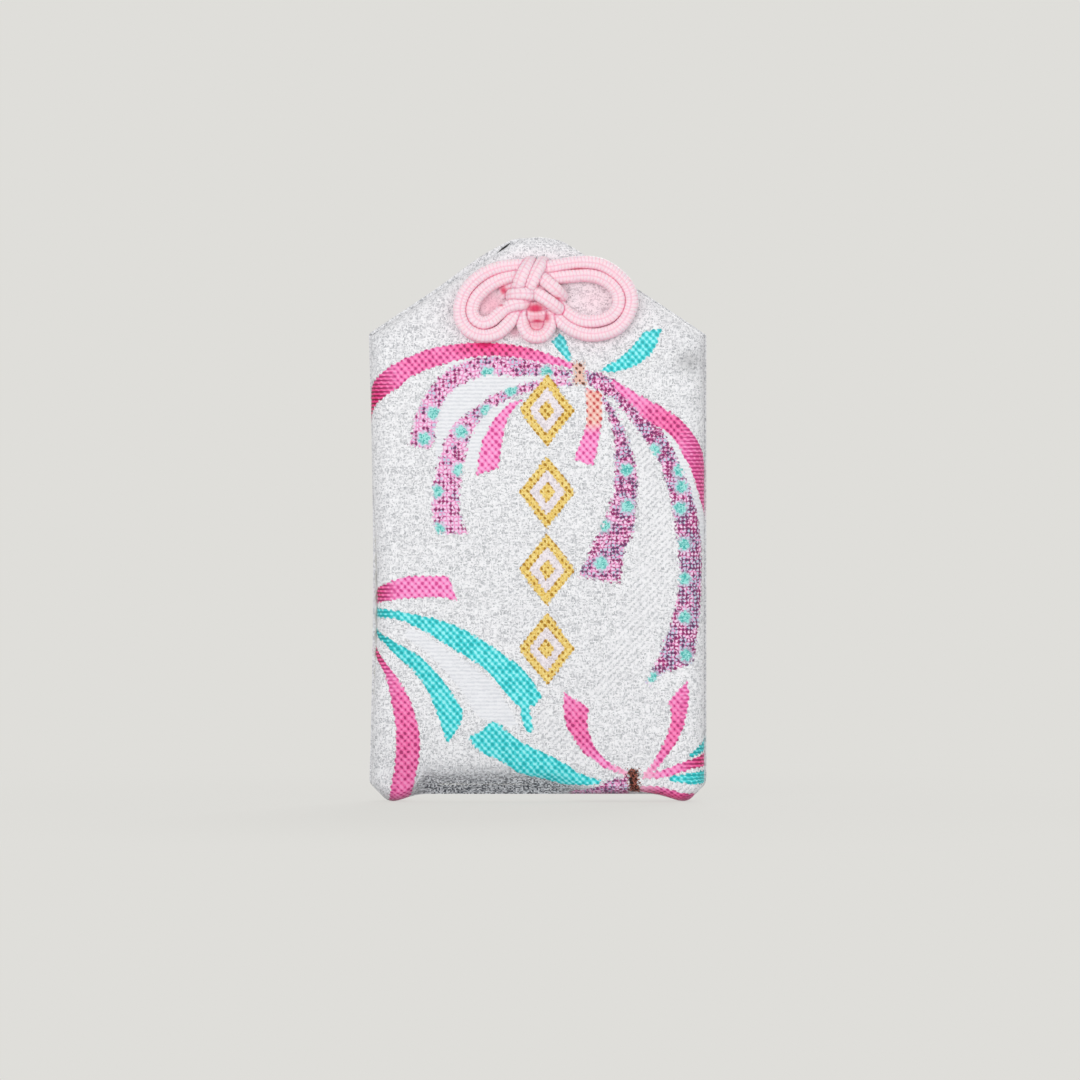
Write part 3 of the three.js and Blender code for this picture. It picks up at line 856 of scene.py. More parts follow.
class Loom(Wire):
    """The start of a brocade finish, with what all its floats share: the threads and their ties."""

    def __init__(self, tree):
        super().__init__(tree)
        self.cloth = self.add("Attribute", output="Vector", attribute_name="cloth_mm")
        noise = self.add("TexNoise", {"Vector": self.cloth, "Scale": 1.6, "Detail": 3.0}, output="Color")
        wander = self.add("VectorMath", {0: noise, 1: (0.5, 0.5, 0.5)}, operation="SUBTRACT")
        drift = {0: wander, 1: (thread_drift, thread_drift, 0.0), 2: self.cloth}
        self.place = self.add("VectorMath", drift, operation="MULTIPLY_ADD")
        self.u = self.add("SeparateXYZ", {0: self.place}, output="X")
        self.v = self.add("SeparateXYZ", {0: self.place}, output="Y")
        self.level = self.add("SeparateXYZ", {0: self.cloth}, output="Y")
        self.fine = self.grain(thread, thread)
        self.lying = self.grain(long_float, thread)
        self.speckle = 0.45 * self.fine + 0.3 * self.lying + 0.25 * self.grain(thread, tall_float)
        rising = self.u * (1 / tie_across) + self.v * (1 / tie_upward)
        falling = self.u * (1 / tie_across) - self.v * (1 / tie_upward)
        tightness = self.luck(self.add("CombineXYZ", {0: round(rising), 1: round(falling)}))
        self.ties = 0.6 * rising.wave(1) + 0.4 * falling.wave(1) + 0.7 * (tightness - 0.5)
        weft = 0.8 * self.level.wave(weft_pitch) + 0.2 * self.ties + 0.5 * (self.lying - 0.5)
        tied = self.ties.between(0.42, 0.68)
        self.tied = tied + abs(self.u).between(*weft_faced) * (weft.between(-0.15, 0.35) - tied)
        self.slack = self.ties.between(-0.8, 0.1)
        self.serrated = 0.14 * self.ties + 0.14 * (self.fine - 0.5)

    def luck(self, spot):
        """A value by chance for each whole place."""
        return self.add("TexWhiteNoise", {"Vector": spot}, output="Value", noise_dimensions="2D")

    def grain(self, across, upward):
        """A value by chance for each stretch of thread of this size."""
        size = {0: self.place, 1: (across, upward, 1.0)}
        return self.luck(self.add("VectorMath", size, operation="SNAP"))

    def near(self, spot, close, far):
        """1 close to a place on the flat cloth and 0 far from it."""
        ends = {0: self.cloth, 1: (*spot, 0.0)}
        away = self.add("VectorMath", ends, output="Value", operation="DISTANCE")
        return 1 - away.between(close, far)

    def woven(self, name, rim=0.06):
        """1 inside a marked shape, whose edge steps from thread to thread."""
        return (self.mark(name) + self.serrated).between(-rim, rim)

    def floats(self, light, middle, dark):
        """Floats that are light on their crests, darker between them and darkest where they are tied."""
        return self.tied.blend(self.slack.blend(light, middle), dark)

    def frayed(self, name, strays):
        """1 inside a marked shape whose edge frays into stray threads."""
        return (self.mark(name) + self.serrated + 0.5 * (strays - 0.5)).between(-0.1, 0.1)


def silver_ground(loom):
    """Grainy silver cloth, coarser and darkened with painted shade at its bends, with plain and ribbed bands. Also
    gives the ribs' relief.
    """
    colour = loom.speckle.between(0.0, 0.74).blend(dyed(174, 176, 180), dyed(249, 249, 251))
    coarse = loom.grain(coarse_thread, coarse_thread).between(0.05, 0.95)
    # Painted shade where the cloth bends under the bag, over a coarser grain
    colour = loom.mark("bent_shade").blend(colour, coarse.blend(dyed(56, 60, 70), dyed(230, 232, 236)))
    threads = (0.3 * loom.level.wave(weft_pitch) + 0.5 * loom.lying + 0.3 * loom.fine).between(-0.2, 0.8)
    white = threads.blend(dyed(222, 224, 229), dyed(244, 245, 248))
    colour = loom.woven("white", 0.3).blend(colour, white)
    twill = loom.woven("twill", 0.5)
    ribs = (loom.u - loom.v).wave(rib_pitch)
    ribbed = (0.8 * loom.speckle + 0.13 * ribs + 0.1).between(0.0, 0.7)
    colour = twill.blend(colour, ribbed.blend(dyed(180, 182, 186), dyed(247, 247, 249)))
    return colour, 0.12 * twill * ribs


def mauve_floats(loom, colour):
    """Mauve ribbons: a pale net with plum dashes and dots, and teal spots. Also gives where plum lies."""
    mauve = loom.frayed("mauve", loom.grain(frayed_thread, frayed_thread))
    clouds = loom.add("TexNoise", {"Vector": loom.cloth, "Scale": 0.55, "Detail": 1.0})
    bluish = (clouds + 0.003 * loom.u).between(0.47, 0.6)
    cells = {"Vector": loom.place, "Scale": 1.9, "Randomness": 0.6}
    to_rim = loom.add("TexVoronoi", cells, voronoi_dimensions="2D", feature="DISTANCE_TO_EDGE")
    rims = loom.fine.blend(dyed(246, 160, 210), dyed(230, 132, 190))
    pale = bluish.blend(dyed(248, 216, 240), dyed(196, 210, 228))
    net = to_rim.between(0.02, 0.3).blend(rims, pale)
    ragged = loom.add("TexNoise", {"Vector": loom.cloth, "Scale": 2.6, "Detail": 1.0})
    dashes = (1 - to_rim.between(0.1, 0.26)) * (ragged + 0.004 * loom.u).between(0.54, 0.6)
    dot_grid = (0 - loom.u.wave(dot_pitch) - loom.v.wave(dot_pitch)).between(-0.7, 0.5)
    dots = dot_grid * (loom.grain(dot_pitch, dot_pitch) + 0.004 * loom.u).between(0.56, 0.62)
    plum = dashes.larger(dots)
    rosy_plum = loom.fine.blend(dyed(176, 44, 116), dyed(112, 36, 92))
    grey_plum = loom.fine.blend(dyed(132, 60, 112), dyed(82, 56, 94))
    colour = mauve.blend(colour, plum.blend(net, bluish.blend(rosy_plum, grey_plum)))
    spots = loom.mark("spot") + 0.15 * loom.ties + 0.2 * (loom.fine - 0.5)
    halo = 0.5 * (spots + 0.3).between(-0.12, 0.12) * mauve
    colour = halo.blend(colour, dyed(206, 222, 236))
    spot_dye = loom.speckle.between(0.25, 0.65).blend(dyed(66, 180, 174), dyed(168, 234, 228))
    colour = (spots.between(-0.1, 0.1) * mauve).blend(colour, spot_dye)
    return colour, plum * mauve


def pink_floats(loom, colour):
    """Pink ribbons, darker in places from deeper dye and painted shade, with a painted shadow under the knot's left
    ear, a coral stretch and a pale foot. Also gives where they lie.
    """
    # Darker pink from deeper dye and painted shade
    dye_and_shade = loom.mark("dye_and_shade")
    light = dye_and_shade.blend(dyed(255, 180, 226), dyed(255, 84, 160))
    middle = dye_and_shade.blend(dyed(254, 138, 202), dyed(236, 30, 118))
    dark = dye_and_shade.blend(dyed(220, 72, 148), dyed(116, 0, 40))
    dye = loom.floats(light, middle, dark)
    # Painted shadow of the knot's left ear on the pink, where the mark passes 1
    dye = dye_and_shade.between(0.95, 1.5).blend(dye, dyed(218, 8, 100))
    coral = loom.floats(dyed(252, 220, 208), dyed(244, 178, 166), dyed(204, 78, 78))
    dye = loom.near(coral_middle, 1.8, 3.8).blend(dye, coral)
    dye = (0.6 * loom.near(binding_foot, 1.0, 4.5)).blend(dye, dyed(250, 206, 218))
    pink = loom.woven("pink")
    return pink.blend(colour, dye), pink


def teal_floats(loom, colour):
    """Teal ribbons, darker in places from deeper dye and painted shade. Also gives where they lie."""
    # Darker teal from deeper dye and painted shade
    dye_and_shade = loom.mark("dye_and_shade")
    light = dye_and_shade.blend(dyed(160, 250, 253), dyed(84, 218, 220))
    middle = dye_and_shade.blend(dyed(64, 218, 222), dyed(40, 192, 194))
    dark = dye_and_shade.blend(dyed(34, 180, 184), dyed(8, 146, 150))
    teal = loom.woven("teal")
    return teal.blend(colour, loom.floats(light, middle, dark)), teal


def binding_floats(loom, colour):
    """The frayed bindings of the two bundles, brown below and peach above."""
    upper = (loom.v - bundle_split).between(-1, 1)
    brown = loom.fine.between(0.3, 0.7).blend(dyed(30, 4, 1), dyed(152, 82, 68))
    loose = upper.blend(brown, dyed(236, 194, 176))
    tight = upper.blend(dyed(22, 2, 1), dyed(110, 60, 44))
    return loom.frayed("binding", loom.fine).blend(colour, loom.tied.blend(loose, tight))


def gold_floats(loom, colour):
    """Gold lozenges on a faintly rosy field. Also gives where the gold lies."""
    colour = (0.3 * loom.woven("field")).blend(colour, dyed(252, 222, 230))
    threads = loom.fine.blend(dyed(252, 232, 154), dyed(226, 182, 70))
    gold = loom.woven("gold")
    return gold.blend(colour, loom.tied.blend(threads, dyed(176, 126, 30))), gold


def brocade_finish(name, front):
    """Jacquard cloth. Its front has gold lozenges, and its back has the slit in the turned edge, painted as dark
    shade.
    """
    material, start = new_finish(name)
    loom = Loom(start.tree)
    colour, ribs = silver_ground(loom)
    colour, plum = mauve_floats(loom, colour)
    colour, pink = pink_floats(loom, colour)
    colour, teal = teal_floats(loom, colour)
    colour = binding_floats(loom, colour)
    raised = pink.larger(teal)
    shade = loom.mark("shaded")
    if front:
        colour, gold = gold_floats(loom, colour)
        raised = raised.larger(gold)
    else:
        # The slit is painted as dark shade; the mesh has no opening there
        along = loom.mark("along_slit")
        slit_shade = slit_half - slit_taper * along * along - abs(loom.mark("off_slit"))
        shade = shade.larger(slit_shade.between(-slit_blur, slit_blur))
    # Painted pink reflection and pink-tinted shade from the knot's cord
    colour = loom.mark("pink_bounce").blend(colour, dyed(255, 180, 201))
    # Painted highlight along the front's slanted edges
    colour = loom.mark("edge_highlight").blend(colour, dyed(250, 250, 251))
    colour = shade.blend(colour, dyed(44, 42, 42))
    height = 0.8 * loom.speckle + 0.5 * raised - 0.4 * loom.tied * raised + ribs - 0.3 * plum
    surface = {"Base Color": colour, "Roughness": 0.62 - 0.25 * loom.fine}
    surface["Normal"] = height.relief(0.7, weave_relief)
    surface["Specular IOR Level"] = 0.22
    surface["Sheen Weight"] = 0.04
    loom.finish(surface)
    return material


def flat_points(mesh):
    """The points of flat cloth, across and up."""
    found = np.empty(3 * len(mesh.vertices))
    mesh.vertices.foreach_get("co", found)
    return found[0::3].copy(), found[1::3].copy()


def cut_cloth(name, behind):
    """A grid of flat cloth in millimetres, trimmed to the bag's outline and its seam turning."""
    wide = 2 * (half_width + cut_spare)
    tall = bag_height + 2 * cut_spare
    bpy.ops.object.select_all(action="DESELECT")
    across, upward = round(wide / cell), round(tall / cell)
    bpy.ops.mesh.primitive_grid_add(x_subdivisions=across, y_subdivisions=upward, size=1)
    panel = bpy.context.object
    panel.name = name
    mesh = panel.data
    u, v = flat_points(mesh)
    u = u * wide
    v = (v + 0.5) * tall - cut_spare
    mesh.vertices.foreach_set("co", np.stack([u, v, 0 * u], axis=1).ravel())
    left = fold_cloth(u, v, behind)[3]
    corners = np.empty(4 * len(mesh.polygons), int)
    mesh.polygons.foreach_get("vertices", corners)
    waste = (left[corners.reshape(-1, 4)] < 0.25 * cell - seam_turning).all(1)
    mesh.vertices.foreach_set("select", np.zeros(len(u), bool))
    mesh.edges.foreach_set("select", np.zeros(len(mesh.edges), bool))
    mesh.polygons.foreach_set("select", waste)
    bpy.ops.object.mode_set(mode="EDIT")
    bpy.ops.mesh.select_mode(type="FACE")
    bpy.ops.mesh.delete(type="FACE")
    bpy.ops.object.mode_set(mode="OBJECT")
    return panel


def settled(u, v, behind):
    """Flat points moved on to the seam line where they lie near it, and back to the end of its turning."""
    for _ in range(3):
        left = fold_cloth(u, v, behind)[3]
        lean_u = (fold_cloth(u + probe, v, behind)[3] - left) / probe
        lean_v = (fold_cloth(u, v + probe, behind)[3] - left) / probe
        lean = np.maximum(np.hypot(lean_u, lean_v), 0.3)
        shift = np.where(np.abs(left) < 0.5 * cell, -left, 0)
        shift = np.where(left < -seam_turning, -seam_turning - left, shift)
        u = u + lean_u / lean * shift
        v = v + lean_v / lean * shift
    return u, v


def store_marks(mesh, marks):
    """Keeps a value for each of the mesh's points under its name, for the finish to read."""
    for name, values in marks.items():
        mesh.attributes.new(name, "FLOAT", "POINT").data.foreach_set("value", values)


def cloth_panel(name, facing):
    """A panel cut from flat cloth and folded round the bag's edge, facing -1 for front or 1 for back."""
    behind = max(facing, 0)
    panel = cut_cloth(name, behind)
    mesh = panel.data
    u, v = settled(*flat_points(mesh), behind)
    x, depth, z, left = fold_cloth(u, v, behind)
    depth += handled(x, z) * eased(left, *even_edge)
    folded = np.stack([x, facing * depth, z], axis=1) * MM
    mesh.vertices.foreach_set("co", folded.ravel())
    flat_place = mesh.attributes.new("cloth_mm", "FLOAT_VECTOR", "POINT")
    flat_place.data.foreach_set("vector", np.stack([u, v, 0 * u], axis=1).ravel())
    marks = {**woven_marks(u, v), **surface_marks(x, z, left, behind)}
    for colour in woven_ribbons:
        marks[colour] -= ribbon_cut * behind * fading(left, *ribbon_stop)
    store_marks(mesh, marks)
    if facing > 0:
        mesh.flip_normals()
    flat_area = len(mesh.polygons) * (cell * MM) ** 2
    thicken = panel.modifiers.new("cloth", "SOLIDIFY")
    thicken.thickness = cloth_thickness * MM
    thicken.offset = -1
    bpy.ops.object.modifier_apply(modifier="cloth")
    bpy.ops.object.shade_smooth_by_angle(angle=math.radians(smooth_angle))
    cut = ((u.max() - u.min()) * MM, (v.max() - v.min()) * MM)
    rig.sheet(panel, flat=cut, held="stretched", rests_on=["stiffener_card"], area=flat_area)
    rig.slot(panel, "brocade")
    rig.ride(panel, "bag")
    return panel


front_cloth = cloth_panel("front_cloth", -1)
dress(front_cloth, brocade_finish("ribbon_brocade", front=True))
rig.replaces(front_cloth, "front_panel")


# Back panel
# The same brocade with no gold, turned back towards the front. Its left slanted edge stands a little
# proud of the front's and has a short slit in it, painted as dark shade, and its ribbons stop short of the seam.
back_cloth = cloth_panel("back_cloth", 1)
dress(back_cloth, brocade_finish("plain_back_brocade", front=False))
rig.replaces(back_cloth, "back_panel")


# Seam threads
# Twisted polyester thread, run along the side and bottom seams in small stitches between the panels.
twist_length = 0.25
twist_relief = 0.03
thread_finish, start = new_finish("sewing_thread")
place = start.add("TexCoord", output="Object")
along = start.add("SeparateXYZ", {0: place}, output="Z") + start.add("SeparateXYZ", {0: place}, output="X")
strands = along.wave(twist_length * MM).between(-0.6, 0.8)
surface = {"Base Color": strands.blend(dyed(176, 176, 174), dyed(232, 232, 228))}
surface["Roughness"] = 0.75 - 0.2 * strands
surface["Normal"] = strands.relief(0.6, twist_relief)
start.finish(surface)
for seam in ("left_seam_thread", "right_seam_thread", "bottom_seam_thread"):
    dress(frame["nodes"][seam], thread_finish)


# Neck cords
# The two stretches of braided cord that come out of the eyelets into the knot. The cord is a round braid
# of pale pink rayon, with painted deeper-pink shade in its crevices.
cord_radius = 0.95
stitch_length = 0.47
stitch_slant = 0.2
stitch_columns = 4
groove_depth = 0.08
stitch_depth = 0.09
fibre_relief = 0.03
ring_step = 0.09
ring_sides = 32
neighbour_step = 0.4
# Painted shade where strands press on each other, in radii, and how much less that tells in the soft heart of the knot
pressed_shade_from = (0.95, 1.25)
heart_place = (-0.3, 69.6, 3.0, 2.8)
heart_softened = 0.5
# Painted deeper-pink shade on the lower side of each strand of the knot, counted in radii below its middle
underside_shade_from = (0.35, 0.95)
underside_shade_share = 0.6
# Painted dark-pink shade in the pockets between the strands of the knot: across, up, half width, half height and how
# much
knot_fold_shade = [
    (-0.35, 66.3, 1.35, 0.75, 1.0), (-0.1, 64.6, 1.0, 0.22, 1.0), (-4.65, 68.75, 0.6, 0.75, 0.85),
    (1.2, 65.0, 0.6, 1.0, 0.8), (-1.5, 65.5, 0.25, 0.6, 0.6), (0.4, 63.95, 0.9, 0.45, 0.55),
    (2.7, 67.6, 0.6, 0.3, 0.7), (0, 69.3, 0.3, 0.25, 0.7), (5.4, 71.6, 1.5, 0.2, 0.7),
    (-5, 66.7, 0.6, 0.3, 0.75), (-0.1, 64.4, 2.1, 1.9, 0.6),
]


def braid_crevices(along, turn):
    """How far into the grooves between columns of stitches, and into the gaps between stitches, a point lies."""
    column = stitch_columns * turn / (2 * np.pi)
    groove = 1 - np.abs(np.sin(np.pi * column)) ** 0.4
    odd = np.floor(column) % 2
    slant = stitch_slant * (column % 1) * (2 * odd - 1) + odd * stitch_length / 2
    gap = 1 - np.abs(np.sin(np.pi * (along + slant) / stitch_length)) ** 0.5
    return groove, gap


def braided_tube(line):
    """Vertices, faces and crevice depths of a closed braided tube along evenly spaced points."""
    ahead = np.gradient(line, axis=0)
    ahead /= np.linalg.norm(ahead, axis=1)[:, None]
    reference = (1, 0, 0) if abs(ahead[0][1]) > 0.8 else (0, 1, 0)
    sideways = np.cross(ahead[0], reference)
    frames = []
    for direction in ahead:
        sideways = sideways - direction * (sideways @ direction)
        sideways /= np.linalg.norm(sideways)
        frames.append((sideways, np.cross(direction, sideways)))
    frames = np.array(frames)
    along = np.concatenate([[0], np.cumsum(np.linalg.norm(np.diff(line, axis=0), axis=1))])
    turn = 2 * np.pi * np.arange(ring_sides) / ring_sides
    groove, gap = braid_crevices(along[:, None], turn[None, :])
    radius = cord_radius * (1 - groove_depth * groove - stitch_depth * gap)
    crevice = np.maximum(0.7 * groove, gap)
    outward = np.cos(turn)[None, :, None] * frames[:, None, 0]
    outward = outward + np.sin(turn)[None, :, None] * frames[:, None, 1]
    rings = line[:, None] + radius[:, :, None] * outward
    points = np.vstack([rings.reshape(-1, 3), line[:1], line[-1:]])
    count = len(line)
    faces = []
    for i in range(count - 1):
        for j in range(ring_sides):
            k = (j + 1) % ring_sides
            low, high = i * ring_sides, (i + 1) * ring_sides
            faces.append((low + j, low + k, high + k, high + j))
    last = (count - 1) * ring_sides
    for j in range(ring_sides):
        k = (j + 1) % ring_sides
        faces.append((count * ring_sides, k, j))
        faces.append((count * ring_sides + 1, last + j, last + k))
    return points, faces, np.concatenate([crevice.ravel(), [1, 1]])


def distance_to(strands, points):
    """How far each point lies from the nearest strand. A far point stands in where there is no strand."""
    tree = KDTree(sum(len(strand) for strand in strands) + 1)
    tree.insert((0, 0, 1e6), 0)
    for place in (place for strand in strands for place in strand):
        tree.insert(place, 1)
    tree.balance()
    return np.array([tree.find(point)[2] for point in points])


def cord_piece(name, routes, neighbours=()):
    """A piece of braided cord along one or more routes, with marks for its painted shade: in its crevices, between
    pressing strands, on the lower side of the knot's strands and in the knot's pockets.
    """
    lines = [smooth_line(route, ring_step) for route in routes]
    others = [smooth_line(route, neighbour_step) for route in neighbours]
    points, faces, crevices, apart, below = [], [], [], [], []
    for line in lines:
        tube_points, tube_faces, tube_crevices = braided_tube(line)
        base = sum(len(earlier) for earlier in points)
        points.append(tube_points)
        faces += [tuple(base + corner for corner in face) for face in tube_faces]
        crevices.append(tube_crevices)
        beside = others + [other[::4] for other in lines if other is not line]
        apart.append(distance_to(beside, tube_points))
        middles = np.vstack([np.repeat(line, ring_sides, axis=0), line[:1], line[-1:]])
        below.append(middles[:, 2] - tube_points[:, 2])
    points = np.vstack(points)
    mesh = bpy.data.meshes.new(name)
    mesh.from_pydata((points * MM).tolist(), [], faces)
    x, y, z = points.T
    in_front = y < 0
    # Painted shade where strands press on each other
    pressed_shade = fading(np.concatenate(apart) / cord_radius, *pressed_shade_from)
    pressed_shade *= 1 - heart_softened * hollow(x, z, *heart_place) * in_front
    # Painted deeper-pink shade on the lower side of the knot's strands
    underside_shade = underside_shade_share * eased(np.concatenate(below) / cord_radius, *underside_shade_from) * in_front
    # Painted dark-pink shade in the pockets of the knot
    fold_shade = np.max([amount * hollow(x, z, *fold) for *fold, amount in knot_fold_shade], axis=0) * in_front
    marks = {"crevice": np.concatenate(crevices), "pressed_shade": np.maximum(pressed_shade, underside_shade), "fold_shade": fold_shade}
    store_marks(mesh, marks)
    piece = bpy.data.objects.new(name, mesh)
    bpy.context.scene.collection.objects.link(piece)
    mesh.shade_smooth()
    dress(piece, cord_finish)
    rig.slot(piece, "cord")
    return piece


cord_finish, start = new_finish("pink_braid")
crevice = start.mark("crevice")
pressed_shade = start.mark("pressed_shade")
place = start.add("TexCoord", output="Object")
fibre = start.add("TexNoise", {"Vector": place, "Scale": 9000.0, "Detail": 3.0})
body = fibre.between(0.35, 0.65).blend(dyed(255, 233, 239), dyed(254, 220, 229))
# Painted shade: deeper pink in the braid's crevices
ribbed = crevice.between(0.15, 1.0).blend(body, dyed(248, 184, 203))
# Painted shade between pressing strands and on the lower side of the knot's strands
tucked_shade = pressed_shade.between(0.0, 0.9).blend(ribbed, dyed(248, 170, 194))
tucked_shade = pressed_shade.between(0.75, 1.0).blend(tucked_shade, dyed(240, 112, 152))
# Painted dark-pink shade in the pockets of the knot
pocket_shade = start.mark("fold_shade").between(0.2, 0.95).blend(tucked_shade, dyed(222, 62, 106))
surface = {"Base Color": pocket_shade, "Roughness": 0.5 + 0.25 * crevice}
surface["Normal"] = fibre.relief(0.35, fibre_relief)
surface["Subsurface Weight"] = 0.4
surface["Subsurface Radius"] = (1.0, 0.5, 0.6)
surface["Subsurface Scale"] = 0.6 * MM
surface["Sheen Weight"] = 0.3
surface["Specular IOR Level"] = 0.35
start.finish(surface)

# Each cord's way out of its eyelet: outward from the eyelet, its place in y, and upward
neck_bend = [(0, 0.4, 0), (0, -0.9, 0.05), (-0.4, -1.8, 0.05), (-1.2, -2.3, -0.3)]
neck_start = (0, -1.1 * MM, eyelet_z * MM)
neck_end = (0, -2.2 * MM, eyelet_z * MM)
neck_cords = []
for name, side in (("left", -1), ("right", 1)):
    route = [(side * (eyelet_x + outward), y, eyelet_z + up) for outward, y, up in neck_bend]
    neck = cord_piece(f"{name}_neck_cord", [route])
    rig.replaces(neck, f"{name}_cord_pass")
    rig.blend(neck, "bag", "bow_knot", start=neck_start, end=neck_end)
    neck_cords.append(neck)


# Hanging loop
# The rest of the same cord. It comes out of the back eyelets, bends down under its weight and lies
# against the back of the bag, about 35 mm long, along the thinner solid cord of the frame.
loop_step = 0.5
loop_gap = 0.3
solid_cord_radius = 0.85
loop_depth = half_depth + loop_gap + solid_cord_radius
loop_crown = -35.1
loop_leg = [
    (-0.2, -6), (-0.9, -11), (-1.9, -16), (-2.9, -21),
    (-3.4, -25.5), (-3.3, -29), (-2.6, -32.2), (-0.5, -34.4),
]
loop_bend = [(0.3, 0), (1.8, -0.02), (3.1, -0.4), (3.9, -1.5), (loop_depth, -3.2)]
left_leg = [(-eyelet_x, y, eyelet_z + z) for y, z in loop_bend]
left_leg += [(x - eyelet_x, loop_depth, eyelet_z + z) for x, z in loop_leg]
right_leg = [(-x, y, z) for x, y, z in reversed(left_leg)]
loop_route = [*left_leg, (0, loop_depth, eyelet_z + loop_crown), *right_leg]
hanging_loop = cord_piece("hanging_loop_cord", [loop_route])
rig.replaces(hanging_loop, "hanging_loop")
loop_line = smooth_line(loop_route, loop_step) * MM
loop_length = float(np.linalg.norm(np.diff(loop_line, axis=0), axis=1).sum())
bend_start = (0, 1.6 * MM, eyelet_z * MM)
bend_end = (0, 4.2 * MM, (eyelet_z - 2.6) * MM)
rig.blend(hanging_loop, "bag", "loop", start=bend_start, end=bend_end)


# Bow knot
# The cord tied flat on the front and pulled tight by hand: strands that cross over and under each other
# in the middle, a doubled ear to the left and to the right, and a short ear below.
def on_front(points):
    """Points across, up and above the cloth of the front, as points in the frame in millimetres."""
    x, z, lift = np.asarray(points, float).T
    return np.stack([x, -(panel_depth(z) + lift), z], axis=1)


knot_middle = [
    [
        (-1, 72.6, 0), (-1.3, 72.1, 1.1), (-1.8, 71.2, 1.8),
        (-2.3, 70.1, 1.9), (-2.6, 69.2, 1.5), (-2.75, 68.6, 0.6),
    ],
    [
        (0.7, 72.6, 0), (0.4, 72.1, 1.1), (-0.1, 71.2, 1.8),
        (-0.6, 70.1, 1.9), (-1, 69.2, 1.5), (-1.2, 68.6, 0.6),
    ],
    [
        (-3.5, 68.05, 0), (-3.45, 68.05, 0.8), (-3, 68.15, 1.6),
        (-2.2, 68.2, 1.9), (-1.3, 68.15, 1.6), (-0.4, 68.1, 0.6),
    ],
    [
        (0, 70.8, 0.6), (0.85, 70.1, 1.5), (1.7, 69.4, 1.95),
        (2.5, 68.65, 1.8), (3.05, 68.05, 1), (3.15, 67.95, 0),
    ],
    [
        (-1, 68.6, 0.5), (-0.1, 68.2, 1.4), (0.7, 67.7, 1.9),
        (1.8, 66.95, 1.9), (2.6, 66.3, 1.4), (3.2, 65.7, 0.4),
    ],
    [(-4.2, 67.9, -0.4), (-4.6, 68.6, -0.3), (-4.1, 69.3, 0), (-3.2, 69.5, 0.3)],
    [(-2.6, 66.4, 0.4), (-1, 66.4, 0.5), (1, 66.4, 0.5), (2.6, 66.4, 0.4)],
    [(-2.6, 68.8, 0.5), (-1, 68.8, 0.7), (1, 68.8, 0.7), (2.6, 68.8, 0.5)],
]
right_outer = [
    (-0.3, 71.5, 0.5), (0.9, 71.75, 0.75), (2.2, 72, 0.85), (3.8, 72.3, 0.85),
    (6.3, 72.5, 0.85), (8.4, 72.2, 0.85), (10.2, 71.2, 0.85), (11.95, 69.4, 0.85),
    (12.6, 67.4, 0.85), (12, 65.2, 0.85), (10.6, 63.6, 0.85), (8.4, 62.8, 0.85),
    (6.3, 62.8, 0.85), (4.1, 63.7, 0.85), (2.7, 64.9, 0.85), (1.6, 66.4, 0.6),
]
right_inner = [
    (0.4, 70, 0.4), (1.8, 70.3, 0.75), (3.2, 70.5, 0.85), (4.8, 70.65, 0.85), (6.3, 70.75, 0.85),
    (8.15, 70.45, 0.85), (9.75, 69.55, 0.85), (10.8, 68, 0.85), (10.75, 66.5, 0.85), (9.7, 65.2, 0.85),
    (7.8, 64.55, 0.85), (5.8, 64.65, 0.85), (4.2, 65.45, 0.85), (2.4, 67.2, 0.6),
]
left_outer = [
    (-1.6, 72.1, 0.6), (-3.1, 72.1, 0.8), (-5.7, 71.65, 0.85), (-8, 70.5, 0.85), (-9.75, 68.6, 0.85),
    (-10.5, 66.5, 0.85), (-10.3, 64.7, 0.85), (-9.2, 63.2, 0.85), (-7.3, 62.55, 0.85), (-5.4, 63, 0.85),
    (-4.1, 64.1, 0.95), (-3.1, 65.3, 1), (-1.9, 66.7, 0.6),
]
left_inner = [
    (-2, 70.6, 0.6), (-3.3, 70.6, 0.8), (-5.4, 70, 0.85), (-7.1, 68.95, 0.85), (-8.4, 67.5, 0.85),
    (-8.85, 66, 0.85), (-8.5, 64.9, 0.85), (-7.5, 64.3, 0.85), (-6.4, 64.55, 0.85), (-5.3, 65.45, 0.95),
    (-4.3, 66.25, 1.2), (-3.2, 66.7, 1.6), (-2.3, 66.85, 1.5), (-1.6, 66.9, 0.6),
]
lower_outer = [
    (-2.2, 66.2, 0.7), (-2.15, 65.3, 0.9), (-1.98, 63.95, 0.9), (-1.28, 62.8, 0.9), (-0.21, 62.45, 0.9),
    (0.86, 62.8, 0.9), (1.58, 63.95, 0.9), (1.75, 65.3, 0.9), (1.8, 66.2, 0.7),
]
lower_bar = [
    (-1.9, 65.6, 0.5), (-1.1, 65.25, 0.75), (-0.2, 65.15, 0.8), (0.6, 65.25, 0.75), (1.3, 65.6, 0.5),
]
lower_stub = [(-1, 64.1, 0.3), (-0.3, 63.9, 0.45), (0.4, 63.85, 0.5), (1.1, 64.1, 0.3)]
knot_routes = {
    "knot_centre": [on_front(strand) for strand in knot_middle],
    "right_ear_outer": [on_front(right_outer)],
    "right_ear_inner": [on_front(right_inner)],
    "left_ear_outer": [on_front(left_outer)],
    "left_ear_inner": [on_front(left_inner)],
    "lower_ear": [on_front(lower_outer), on_front(lower_bar), on_front(lower_stub)],
}
knot_pieces = []
for node, routes in knot_routes.items():
    beside = [route for other, found in knot_routes.items() if other != node for route in found]
    piece = cord_piece(f"braided_{node}", routes, beside)
    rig.replaces(piece, node)
    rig.ride(piece, "bow_knot")
    knot_pieces.append(piece)

